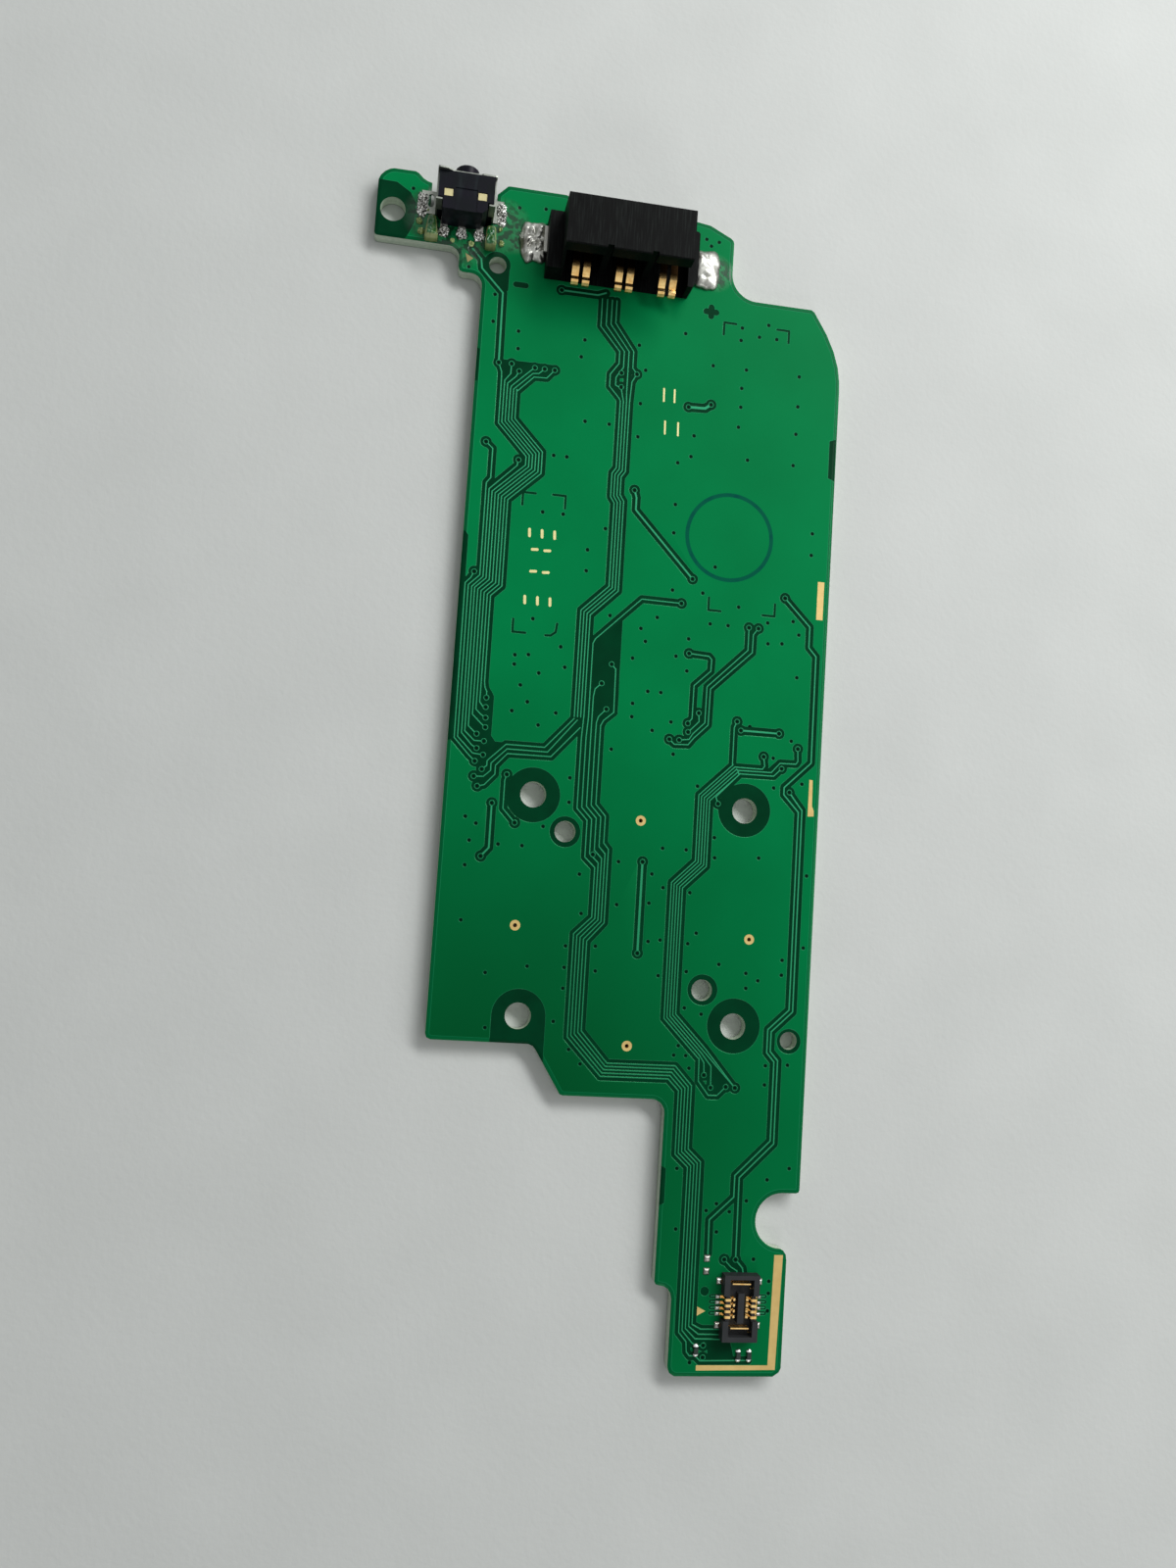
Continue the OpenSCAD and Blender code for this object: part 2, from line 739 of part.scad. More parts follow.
pcb();
ground_strip();
edge_pad_upper();
edge_pad_lower();
index_mark_switch();
index_mark_flex();
vent_ring_north();
vent_ring_east();
vent_ring_south();
vent_ring_west();
key_pad_north();
key_pad_east();
key_pad_south();
key_pad_west();
battery_socket_housing();
battery_contact_left();
battery_contact_centre();
battery_contact_right();
battery_tab_left();
battery_tab_right();
battery_solder_left();
battery_solder_right();
switch_housing();
switch_base();
switch_plunger();
switch_dome();
switch_frame();
switch_terminal_left();
switch_terminal_centre();
switch_terminal_right();
switch_solder_left();
switch_solder_right();
switch_solder_rear();
flex_socket_housing();
flex_contact_w1();
flex_contact_w2();
flex_contact_w3();
flex_contact_w4();
flex_contact_e1();
flex_contact_e2();
flex_contact_e3();
flex_contact_e4();
flex_clip_north();
flex_clip_south();
flex_solder_west();
flex_solder_east();
chip_a();
chip_b();
chip_c();
spare_solder_north();
spare_solder_south();
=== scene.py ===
# %% [markdown]
# # Button board of a handheld game console
# This lesson dresses a CAD model of a small circuit board. The CAD gives the laminate, the two
# sockets, the push switch and their metal parts, and it is the fixed frame that everything here
# sits on. What CAD leaves out is what a circuit board is mostly made of to the eye: etched
# copper under a glossy lacquer, plated marks, lumps of solder and a little burnt flux.

# %% Load the frame
import json
import math

import bpy
import numpy as np
from mathutils import Matrix, Vector, geometry, noise

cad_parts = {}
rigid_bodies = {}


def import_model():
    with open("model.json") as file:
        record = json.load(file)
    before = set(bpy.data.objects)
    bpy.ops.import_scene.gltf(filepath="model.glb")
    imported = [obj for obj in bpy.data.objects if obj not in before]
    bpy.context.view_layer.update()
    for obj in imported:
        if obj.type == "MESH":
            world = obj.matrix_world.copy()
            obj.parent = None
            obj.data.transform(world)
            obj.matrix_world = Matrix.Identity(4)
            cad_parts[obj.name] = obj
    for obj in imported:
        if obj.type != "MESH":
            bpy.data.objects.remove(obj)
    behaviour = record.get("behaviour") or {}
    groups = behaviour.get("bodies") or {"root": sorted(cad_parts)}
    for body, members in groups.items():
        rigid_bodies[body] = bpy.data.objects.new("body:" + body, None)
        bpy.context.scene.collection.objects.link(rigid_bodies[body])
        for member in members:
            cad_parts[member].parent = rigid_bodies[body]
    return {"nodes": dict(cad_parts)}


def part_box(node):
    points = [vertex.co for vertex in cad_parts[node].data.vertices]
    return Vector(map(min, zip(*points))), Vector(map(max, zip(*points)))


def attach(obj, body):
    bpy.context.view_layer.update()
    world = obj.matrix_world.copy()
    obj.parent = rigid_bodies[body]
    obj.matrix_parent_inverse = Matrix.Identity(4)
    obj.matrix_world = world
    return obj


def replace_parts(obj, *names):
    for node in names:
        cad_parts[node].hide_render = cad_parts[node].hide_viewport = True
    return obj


for left_over in list(bpy.data.objects):  # Blender's own cube, lamp and camera
    bpy.data.objects.remove(left_over)
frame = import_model()
bpy.context.view_layer.update()
MM = 0.001
NODES = frame["nodes"]

# %% [markdown]
# ## The camera
# The board lies flat and is looked at from above and a little to one side. Two routes lead to
# such a view: aim the camera with a constraint, or write its three axes. The axes are written,
# because a rolled view like this one has no natural target point. The etched artwork sits a
# quarter of a degree askew on the board, as printed artwork does, so its points are turned.

# %% Artwork axes
ARTWORK_TURN = 0.0044  # radians between the artwork's axes and the board's


def turned(v):
    """A point or direction of the artwork's axes, in the board's."""
    return (v[0] - ARTWORK_TURN * v[1], v[1] + ARTWORK_TURN * v[0]) + tuple(v[2:])


print("artwork turned by degrees", round(math.degrees(ARTWORK_TURN), 2))

# %% Camera
CAMERA_AT = (-18.491, 1.043, 91.566)  # mm
FOCAL_LENGTH, SENSOR_WIDTH = 28.716, 36.0  # mm
right = Vector(turned((0.98468628, 0.06114649, 0.16326066)))
down = Vector(turned((0.07429685, -0.99435946, -0.07569182)))
ahead = Vector(turned((0.15771149, 0.08666245, -0.9836751)))
lens = bpy.data.cameras.new("camera")
lens.lens, lens.sensor_width, lens.sensor_fit = FOCAL_LENGTH, SENSOR_WIDTH, "AUTO"
lens.clip_start, lens.clip_end = 0.001, 5.0
camera = bpy.data.objects.new("camera", lens)
bpy.context.scene.collection.objects.link(camera)
axes = Matrix((right, -down, -ahead)).transposed().to_4x4()
camera.matrix_world = Matrix.Translation(Vector(CAMERA_AT) * MM) @ axes
bpy.context.scene.camera = camera
print("camera at mm", [round(c / MM, 2) for c in camera.location])

# %% [markdown]
# ## Drawing the copper
# On the real board a thin copper sheet is etched away along narrow channels. What stays is a
# wide pour, the tracks inside the channels and round pads where a plated hole goes through. The
# lacquer follows that relief. A picture could fake it, but the bevels along each channel are
# what catches the light, so the relief is real geometry. First come the routes, as plain lists
# of millimetres: a track is a line with a width, and a bundle is one guide line with several
# tracks beside each other.

# %% Tracks and bundles
tracks = []  # (points, half width of the copper, half width of its channel)
PITCH = 0.24  # between bundled tracks
NARROW, WIDE = 0.078, 0.105  # half widths of bundled and of single tracks
GAP = 0.26  # from the side of the copper to the side of its channel
MITRE_LIMIT = 0.3  # keeps the point of a sharp corner short


def beside(points, shift):
    """The line that runs beside points, shift to its left, with mitred corners."""
    p = [Vector(q) for q in points]
    made = []
    for i, q in enumerate(p):
        a = (q - p[i - 1]).normalized() if i else (p[1] - q).normalized()
        b = (p[i + 1] - q).normalized() if i + 1 < len(p) else a
        na, nb = Vector((-a.y, a.x)), Vector((-b.y, b.x))
        m = (na + nb).normalized()
        made.append(tuple(q + m * (shift / max(m.dot(na), MITRE_LIMIT))))
    return made


def track(*points, half=WIDE, gap=GAP):
    """One more track through these points."""
    tracks.append((list(points), half, half + gap))


def bundle(guide, count, heads=(), tails=(), pitch=PITCH, half=NARROW, gap=GAP):
    """Parallel tracks along a guide; heads and tails lengthen each of them by name of place."""
    for i in range(count):
        line = beside(guide, (i - (count - 1) / 2) * pitch)
        line = list(heads[i] if i < len(heads) else ()) + line
        line += list(tails[i] if i < len(tails) else ())
        tracks.append((line, half, half + gap))


print("six tracks span mm", round(5 * PITCH + 2 * NARROW, 2))

# %% [markdown]
# ## The routes
# Every key, the switch and the battery socket send a line to the fine-pitch socket in the tail.
# They run in bundles, because parallel lines of one pitch take the least room. Each route is
# written as the corners of its centre line, from one end to the other.

# %% The bundle down the left edge
# its six tracks are listed from west to east
bundle([(-11.78, 38.2), (-11.78, 35.72), (-9.56, 33.42), (-9.56, 32.25), (-11.9, 30.0),
        (-11.9, 23.45), (-12.68, 22.67), (-12.68, 16.0)], 6,
       heads=[[(-12.67, 40.1), (-12.4, 39.4)],
              [(-11.7, 40.13), (-11.72, 39.35), (-12.13, 38.8)],
              [(-11.1, 39.63), (-11.3, 39.2), (-11.9, 38.6)],
              [(-9.94, 40.04), (-10.3, 39.72), (-11.6, 38.42)],
              [(-9.2, 40.04), (-9.6, 39.64), (-10.05, 39.58), (-11.38, 38.24)],
              [(-8.43, 40.04), (-9.0, 39.36), (-9.95, 39.32), (-11.12, 38.1)]],
       tails=[[(-13.27, 12.3), (-12.55, 11.65), (-11.83, 11.65)],
              [(-13.04, 12.7), (-12.6, 12.3), (-12.4, 12.15)],
              [(-12.8, 13.55), (-12.1, 12.9), (-11.8, 12.67)],
              [(-12.57, 13.95), (-12.2, 13.6), (-11.83, 13.37)],
              [(-12.33, 14.5), (-12.1, 14.2), (-11.87, 14.15)],
              [(-12.02, 15.6), (-11.87, 15.3), (-11.87, 14.85)]])
track((-10.7, 32.85), (-10.78, 32.4), (-12.73, 30.42), (-12.73, 23.78), (-13.5, 22.98),
      (-13.5, 12.15), (-12.7, 11.3), (-12.33, 11.1), half=NARROW)
track((-13.2, 33.95), (-12.67, 33.5), (-12.67, 31.25), (-12.97, 30.85), (-12.97, 23.88),
      (-13.76, 23.08), (-13.76, 11.85), (-12.6, 10.72), (-11.83, 10.65), half=NARROW)
track((-13.4, 24.1), (-13.62, 23.62), (-14.0, 23.2), (-14.0, 11.75), (-12.85, 10.55),
      (-12.4, 10.15), half=NARROW)
# from the switch to the head of that bundle
track((-15.2, 48.6), (-14.5, 47.9), (-14.4, 47.2), (-12.72, 45.5), (-12.67, 40.1))
print("tracks", len(tracks))

# %% Three tracks that leave the centre bundle for the left one
track((-5.31, 13.85), (-7.35, 11.55), (-10.2, 11.55), (-11.5, 10.25), (-11.5, 9.9),
      (-11.85, 9.6), half=NARROW)
track((-5.07, 13.75), (-7.12, 11.22), (-10.1, 11.22), (-11.2, 10.1), (-11.2, 9.55),
      (-11.7, 9.08), (-12.4, 9.05), half=NARROW)
track((-4.83, 13.2), (-6.85, 10.9), (-10.05, 10.88), (-10.87, 9.95), (-10.87, 9.3),
      (-11.6, 8.48), (-12.1, 8.35), half=NARROW)
print("tracks", len(tracks))

# %% The bundle from the battery socket to the centre
bundle([(-2.95, 38.3), (-2.95, 33.0), (-3.25, 32.55), (-3.25, 30.95), (-2.95, 30.5),
        (-2.95, 23.85), (-4.95, 21.85), (-4.95, 14.0)], 4,
       heads=[[(-5.15, 46.1), (-5.15, 43.95), (-3.58, 42.15), (-3.58, 41.2), (-4.2, 40.3),
               (-4.2, 39.35), (-3.4, 38.5)],
              [(-4.75, 46.1), (-4.75, 44.08), (-3.22, 42.2), (-3.22, 40.95), (-3.75, 40.1),
               (-3.75, 39.5), (-3.3, 39.3)],
              [(-4.38, 46.1), (-4.38, 44.2), (-2.86, 42.25), (-2.86, 38.9)],
              [(-4.02, 46.1), (-4.02, 44.35), (-2.5, 42.3), (-2.5, 41.0), (-2.15, 40.55),
               (-2.5, 39.9)]])
print("tracks", len(tracks))

# %% The centre bundle, down to the tail
# places of its five tracks: above the holes, between them, at the waist and below it
ABOVE, BETWEEN = [[-4.68 + 0.345 * i for i in range(5)], [-3.88 + 0.335 * i for i in range(5)]]
WAIST, BELOW = [[-3.1 + 0.235 * i for i in range(5)], [-4.36 + 0.25 * i for i in range(5)]]
HEADS = [[(-4.59, 14.2)],
         [(2.3, 23.25), (-0.75, 23.28), (-4.08, 19.95), (-4.25, 19.6), (-4.25, 14.0)],
         [(-3.42, 16.65), (-3.88, 16.2), (-3.98, 15.6)],
         [(-2.95, 14.75), (-3.5, 14.15), (-3.63, 13.7)],
         [(-2.75, 18.15), (-2.42, 17.8), (-2.38, 14.55), (-3.1, 13.9), (-3.3, 13.5)]]
TAILS = [[(5.66, -30.6), (5.72, -31.3), (5.95, -31.58), (6.4, -31.6), (6.75, -31.93),
          (10.35, -31.9)],
         [(6.1, -30.68), (6.45, -30.9), (6.95, -30.85)],
         [(6.32, -30.4), (8.2, -30.42)],
         [(6.55, -30.08), (8.2, -30.08)],
         [(6.7, -29.72), (8.2, -29.72)]]
for i in range(5):
    u, m, w, z = ABOVE[i], BETWEEN[i], WAIST[i], BELOW[i]
    k = 0.1 * i
    row = -12.03 + 0.24 * i
    track(*HEADS[i], (u, 12.5), (u, 7.25 + k), (m, 6.42 + k), (m, 3.72 + 0.28 * i),
          (w, 3.0 + 0.35 * i), (w, -0.62 - 0.09 * i), (z, -1.88 - 0.12 * i),
          (z, -9.32 + 0.12 * i), (-1.78 + 0.11 * i, row), (3.28 + 0.12 * i, row),
          (4.1 + 0.24 * i, -12.85 + 0.1 * i), (4.1 + 0.24 * i, -17.4 + 0.1 * i),
          (5.08 + 0.24 * i, -18.3 + 0.1 * i), (5.08 + 0.24 * i, -29.95 + 0.14 * i),
          *TAILS[i], half=NARROW)
print("tracks", len(tracks))

# %% Right of the centre
track((7.65, 21.9), (7.65, 20.15), (4.62, 17.1), (4.6, 14.35), (3.72, 13.45), (3.45, 13.0),
      (2.7, 12.9), half=NARROW)
track((8.4, 21.9), (8.02, 21.4), (8.0, 20.0), (4.9, 16.95), (4.86, 14.2), (3.8, 13.12),
      (3.4, 12.6), (2.35, 12.55), (1.95, 12.9), half=NARROW)
track((3.1, 19.5), (4.65, 19.42), (4.87, 19.2), (4.85, 18.3), (3.62, 17.1), (3.6, 14.6),
      (3.3, 14.2), half=NARROW)
track((4.1, 15.05), (4.15, 14.4), (3.35, 13.55), half=NARROW)
bundle([(7.25, 11.05), (4.87, 8.72), (4.87, 3.8), (3.15, 2.1), (3.15, -7.5), (5.7, -10.1)], 5,
       heads=[[(7.1, 14.65), (6.9, 14.2), (6.9, 11.4)],
              [(9.3, 12.15), (9.42, 11.45), (9.25, 11.2), (7.35, 11.2)],
              [(11.95, 12.95), (12.0, 12.0), (11.85, 11.78), (10.6, 11.75), (9.95, 11.0),
               (7.3, 10.97)],
              [(10.75, 11.35), (10.15, 10.74), (7.4, 10.72)],
              [(5.95, 8.35), (5.75, 8.85)]],
       tails=[[(5.52, -10.5), (5.55, -12.1), (6.35, -13.1), (7.0, -13.1), (7.65, -12.45)],
              [(5.9, -10.75), (5.95, -11.65)],
              [(6.45, -11.0), (6.5, -12.55)],
              [(8.35, -12.5)], [(8.35, -12.5)]], pitch=0.215)
track((7.42, 14.0), (10.42, 14.0))
print("tracks", len(tracks))

# %% Down the right edge to the tail
track((10.38, 24.45), (12.45, 22.4), (12.45, 20.8), (13.05, 20.15), (13.05, 11.95),
      (11.02, 9.95), (11.02, 9.4), (12.22, 8.15), (12.22, -6.65), (10.65, -8.15),
      (10.65, -9.85), (11.24, -10.5), (11.24, -16.25), (8.68, -18.8), (8.68, -20.35),
      (6.92, -22.0), (6.95, -24.4), half=0.09)
track((11.45, 9.6), (11.92, 9.0), (12.5, 8.3), (12.5, -6.78), (10.92, -8.3), (10.92, -9.75),
      (11.52, -10.4), (11.52, -16.45), (9.02, -18.95), (9.05, -24.8), (9.6, -25.4),
      (9.7, -25.9), half=0.09)
track((8.2, -24.8), (8.75, -25.35), (9.2, -25.6), (9.2, -25.9), half=NARROW)
print("tracks", len(tracks))

# %% Single tracks
track((0.45, 3.65), (0.45, -3.05), half=0.12)
track((-10.95, 7.2), (-10.95, 3.95), (-11.5, 3.3))
track((-1.8, 31.55), (-1.62, 31.0), (-1.62, 30.05), (3.05, 25.2))
track((-8.3, 46.35), (-5.5, 46.35), (-4.9, 46.6))
track((2.0, 38.5), (3.3, 38.55), (3.75, 38.9), half=0.14)
track((-10.0, 9.35), (-10.12, 8.9), (-10.12, 6.85), (-9.2, 5.88), half=NARROW)
for y in (-27.37, -27.77, -28.17, -28.57):  # short tails beside the fine-pitch socket
    track((7.35, y - 0.02), (8.1, y), half=0.07, gap=0.1)
    track((10.95, y), (11.4, y), half=0.07, gap=0.1)
print("tracks", len(tracks), "corners", sum(len(t[0]) for t in tracks))

# %% [markdown]
# ## Plated holes, bare areas and marks
# A plated hole shows as a pad with a dimple, because the lacquer sinks into it. Where no copper
# may be, round a screw or a pin, the lacquer lies on the laminate itself and looks darker. The
# two signs beside the battery socket and the corner marks of shields are etched the same way.

# %% Plated holes at the ends of tracks
PAD, PAD_GAP = 0.25, 0.46  # radii of a pad and of the channel round it
signal_holes = [
    (-12.67, 40.1), (-11.7, 40.13), (-11.1, 39.63), (-9.94, 40.04), (-9.2, 40.04),
    (-8.43, 40.04), (-10.7, 32.85), (-13.2, 33.95), (-13.4, 24.1), (-11.87, 14.85),
    (-11.87, 14.15), (-11.83, 13.37), (-11.8, 12.67), (-12.4, 12.15), (-11.83, 11.65),
    (-12.33, 11.1), (-11.83, 10.65), (-12.4, 10.15), (-11.85, 9.6), (-12.4, 9.05),
    (-12.1, 8.35), (2.3, 23.25), (-3.42, 16.65), (-2.95, 14.75), (-2.75, 18.15),
    (7.65, 21.9), (8.4, 21.9), (1.95, 12.9), (2.7, 12.9), (3.1, 19.5), (3.3, 14.2),
    (4.1, 15.05), (3.35, 13.55), (7.1, 14.65), (9.3, 12.15), (11.95, 12.95), (10.75, 11.35),
    (7.65, -12.45), (5.95, -11.65), (6.5, -12.55), (8.35, -12.5), (7.42, 14.0),
    (10.42, 14.0), (10.38, 24.45), (11.45, 9.6), (8.2, -24.8), (9.05, -24.8), (0.45, 3.65),
    (0.45, -3.05), (-10.95, 7.2), (-11.5, 3.3), (-1.8, 31.55), (3.05, 25.2), (-8.3, 46.35),
    (2.0, 38.5), (3.75, 38.9), (-10.0, 9.35), (-9.2, 5.88), (-3.3, 39.4), (-3.35, 40.5),
    (-2.15, 40.55), (-3.3, 3.95), (6.95, -30.85), (6.95, -31.7), (5.95, 8.35)]
print("holes at tracks", len(signal_holes))

# %% Plated holes in the pour
pour_holes = [
    (-11.35, 42.7), (-13.3, 45.3), (-13.3, 43.2), (-6.3, 42.7), (-6.5, 41.35), (-11.3, 41.35),
    (-2.1, 42.85), (-1.5, 40.95), (1.45, 44.25), (3.75, 42.0), (6.4, 42.0), (10.65, 42.0),
    (6.1, 40.5), (10.65, 39.6), (6.1, 39.0), (6.0, 37.4), (10.6, 37.4), (2.55, 36.3),
    (6.85, 34.9), (10.5, 34.9), (2.4, 34.65), (1.4, 34.05), (1.4, 30.8), (12.3, 29.7),
    (12.3, 28.0), (4.75, 26.3), (1.4, 28.6), (-8.1, 33.5), (-7.1, 33.5), (-5.9, 36.4),
    (-4.05, 36.4), (-1.75, 38.3), (-1.8, 35.7), (-5.1, 26.6), (-5.1, 25.0), (-8.65, 29.1),
    (-7.1, 29.1), (-3.85, 28.35), (1.55, 24.2), (3.9, 24.2), (6.75, 23.4), (0.5, 22.0),
    (-3.1, 21.8), (4.6, 21.9), (6.0, 21.9), (9.1, 22.4), (11.1, 22.7), (11.6, 21.7),
    (10.3, 20.9), (9.2, 20.8), (11.6, 18.4), (-10.0, 18.2), (-9.0, 18.3), (-10.0, 17.5),
    (-8.15, 17.0), (-6.25, 17.6), (-9.45, 16.0), (-8.85, 14.8), (-9.95, 14.05),
    (-6.7, 14.15), (-7.95, 13.15), (-6.65, 19.1), (-8.85, 21.0), (-1.2, 18.75),
    (-1.0, 15.35), (-1.0, 14.35), (0.6, 13.45), (0.1, 16.35), (1.1, 16.35), (-5.35, 9.45),
    (-5.3, 7.65), (-12.8, 6.1), (-12.0, 5.65), (-12.4, 4.4), (-10.3, 4.25), (-8.55, 4.25),
    (-7.1, 5.75), (-1.35, 3.55), (-2.4, 11.8), (-4.2, 2.45), (1.9, 4.75), (3.7, 4.75),
    (2.3, 11.8), (-0.7, 21.05), (-0.3, 20.1), (3.0, 20.6), (3.0, 18.15), (2.1, 19.2),
    (2.0, 14.2), (10.05, 12.1), (11.4, 13.5), (4.3, 9.55), (10.2, 9.85), (12.4, 10.3),
    (5.8, 5.8), (5.9, 4.3), (9.3, 4.5), (13.1, 3.4), (-12.6, 2.6), (-12.6, -1.35),
    (-10.6, -5.0), (-7.6, -4.4), (-4.9, -2.8), (-4.9, -4.35), (-4.9, -5.85), (-5.45, -8.25),
    (-10.35, -8.9), (-2.7, -2.7), (-2.6, -4.5), (-3.9, -0.4), (-1.3, 0.4), (1.2, 2.8),
    (1.1, 0.65), (1.2, -2.15), (2.1, 1.85), (2.1, -2.0), (2.1, -4.6), (4.15, 1.6),
    (4.2, -2.15), (4.8, -1.35), (4.2, -4.2), (4.2, -6.85), (5.5, -7.25), (-3.3, -11.2),
    (-4.2, -10.2), (3.9, -9.6), (3.6, -10.3), (4.5, -10.3), (4.8, -11.2), (6.65, -3.55),
    (8.75, -4.1), (8.8, -5.2), (9.7, -4.6), (11.5, -3.0), (11.5, -4.1), (13.1, -2.0),
    (10.6, -10.8), (12.3, -10.7), (10.6, -12.2), (4.45, -22.7), (7.5, -22.85),
    (6.65, -21.35), (7.4, -20.85), (8.4, -21.4), (9.65, -20.6), (11.15, -19.05),
    (12.8, -18.2), (10.4, -24.75), (11.65, -26.3), (11.65, -27.15), (11.65, -28.4),
    (6.0, -32.05), (4.3, -18.4), (-19.9, 52.6), (-9.9, 52.5), (-11.9, 52.3), (2.7, 52.0),
    (3.7, 51.9), (3.1, 51.5), (8.0, 45.8), (8.7, 44.75), (7.3, 44.75), (5.85, 44.3),
    (5.9, 45.3), (8.1, 14.35), (-15.4, 47.15)]
print("holes in the pour", len(pour_holes))

# %% Bare rings and areas
bare_discs = [(-8.0, 8.0, 2.05), (8.0, 8.0, 2.05), (8.0, -8.0, 2.05), (-8.0, -8.0, 2.0),
              (-5.46, 5.47, 1.17), (5.5, -5.47, 1.17), (12.3, -8.95, 0.95),
              (-13.3, 47.6, 1.05), (6.85, -27.05, 0.36)]
bare_areas = [
    [(-10.0, -8.0), (-6.0, -8.0), (-6.0, -12.0), (-10.0, -12.0)],
    [(-23.5, 48.0), (-20.6, 48.0), (-19.95, 49.1), (-19.6, 50.0), (-19.6, 51.5),
     (-20.05, 52.3), (-21.1, 52.95), (-23.5, 53.0)],
    [(-14.2, 47.3), (-12.3, 47.9), (-12.3, 45.7), (-12.6, 45.6)],
    [(-4.1, 19.95), (-2.08, 21.7), (-2.08, 14.4), (-2.95, 13.78), (-4.1, 13.78)],
    [(-12.4, 40.42), (-8.3, 40.46), (-9.4, 39.3), (-12.4, 38.3)],
    [(-15.2, 27.1), (-14.25, 27.1), (-13.98, 26.8), (-13.98, 24.2), (-13.9, 11.9),
     (-14.35, 11.5), (-15.2, 11.5)],
    [(-15.2, 41.2), (-14.1, 41.0), (-14.1, 38.5), (-15.2, 38.3)],
    [(-12.3, 15.6), (-11.5, 15.4), (-11.28, 15.0), (-11.3, 12.1), (-11.0, 11.72),
     (-9.9, 11.72), (-11.8, 9.9), (-12.7, 10.2), (-13.2, 13.0)],
    [(5.8, -10.5), (8.4, -12.3), (8.2, -12.8), (6.3, -12.9)],
    [(7.15, -30.55), (9.0, -30.6), (9.3, -31.7), (7.3, -31.72)],
    [(3.1, -18.2), (3.52, -18.4), (3.52, -20.9), (3.1, -21.1)],
    [(13.32, 37.2), (13.9, 37.4), (13.9, 34.0), (13.32, 34.2)]]
print("bare rings", len(bare_discs), "bare areas", len(bare_areas))

# %% Signs and corner marks
MARK_ARM, MARK_HALF = 0.95, 0.12  # length and half width of the arms of a corner mark
etched_lines = [([(-11.78, 46.3), (-11.02, 46.3)], 0.25), ([(2.98, 46.25), (3.77, 46.25)], 0.27),
                ([(3.37, 45.9), (3.37, 46.6)], 0.27),
                ([(-7.85, 19.85), (-7.45, 19.87), (-7.1, 20.15), (-7.02, 20.8)], MARK_HALF)]
for cx, cy, sx, sy in ((4.45, 45.55, 1, -1), (9.65, 45.55, -1, -1), (4.4, 22.95, 1, 1),
                       (9.6, 22.95, -1, 1), (-10.2, 30.45, 1, -1), (-7.0, 30.5, -1, -1),
                       (-10.3, 19.9, 1, 1)):
    etched_lines.append(([(cx + MARK_ARM * sx, cy), (cx, cy), (cx, cy + MARK_ARM * sy)],
                         MARK_HALF))
print("etched lines", len(etched_lines))

# %% [markdown]
# ## The board's own outline
# The lacquer starts from the outline and holes of the CAD board, read from its flat faces, so it
# fits exactly. An edge that only one triangle of a flat face uses is a boundary edge; followed
# from corner to corner, the boundary edges close into loops.

# %% Outline of the board
def face_loops(node_name, z):
    """The closed edge loops, in mm, of a CAD node's flat face at height z, longest first."""
    mesh = NODES[node_name].data
    co = np.array([v.co for v in mesh.vertices]) / MM
    key = [tuple(np.round(c, 4)) for c in co]
    count = {}
    for f in mesh.polygons:
        if all(abs(co[i][2] - z) < 1e-3 for i in f.vertices):
            corners = [key[i] for i in f.vertices]
            for e in zip(corners, corners[1:] + corners[:1]):
                count[e] = count.get(e, 0) + 1
    after = {a: b for a, b in count if (b, a) not in count}
    loops = []
    while after:
        q = next(iter(after))
        loop = []
        while q in after:
            loop.append(q[:2])
            q = after.pop(q)
        loops.append(np.array(loop))
    return sorted(loops, key=lambda q: (-np.ptp(q[:, 1]), -len(q)))


TOP, UNDER = 1.0, 0.0  # heights of the board's two faces, mm
outline, *board_holes = face_loops("pcb", TOP)
print("outline corners", len(outline), "holes", len(board_holes))

# %% [markdown]
# ## From routes to relief
# All edges of the drawing go into one triangulation that keeps them as edges. Each bevel gets
# three nested edges, at its foot, middle and top. Afterwards every corner takes its height from
# its distance to the nearest track, channel or area, so flat areas stay flat and nothing
# overlaps. A boolean of hundreds of strips would be slower and would leave slivers.

# %% Heights and widths of the relief
LOW, HIGH, BEVEL = 0.006, 0.036, 0.08  # lacquer on laminate, on copper; width of a bevel
FOOT = 0.05  # width of the bevel of a track
RIM, RIM_SHARE = 0.30, 0.64  # the pour stays this far inside the outline, and thins there
TRACK_SHARE = 0.82  # the lacquer lies thinner on narrow copper
POUR_FULL = 1.03  # lifts the edge of the pour to its full height before the bevel ends
DIMPLE, DIMPLE_SLOPE = 0.14, 0.05  # radius of a dimple and half the width of its slope
DIMPLE_DEEP, DIMPLE_LEFT = 0.034, 0.002  # how deep the lacquer sinks, and what stays
ON_COPPER = 0.015  # lacquer this much higher than LOW lies on copper
ARC = 8  # pieces in the round end of a track
print("lacquer mm", LOW, "to", HIGH)


# %% The drawing as capsules
def capsules(routes, holes, discs, lines):
    """Rows ax, ay, bx, by, radius, kind: kind 0 is etched away, 1 is copper."""
    rows = []
    for points, half, channel in routes:
        for a, b in zip(points, points[1:]):
            rows.append((*a, *b, channel, 0))
            rows.append((*a, *b, half, 1))
    for x, y in holes:
        rows.append((x, y, x, y, PAD_GAP, 0))
        rows.append((x, y, x, y, PAD, 1))
    for x, y, r in discs:
        rows.append((x, y, x, y, r, 0))
    for points, half in lines:
        for a, b in zip(points, points[1:]):
            rows.append((*a, *b, half, 0))
    made = np.array(rows, float)
    for i in (0, 2):  # from the artwork's axes to the board's
        x, y = made[:, i].copy(), made[:, i + 1].copy()
        made[:, i], made[:, i + 1] = x - ARTWORK_TURN * y, y + ARTWORK_TURN * x
    return made


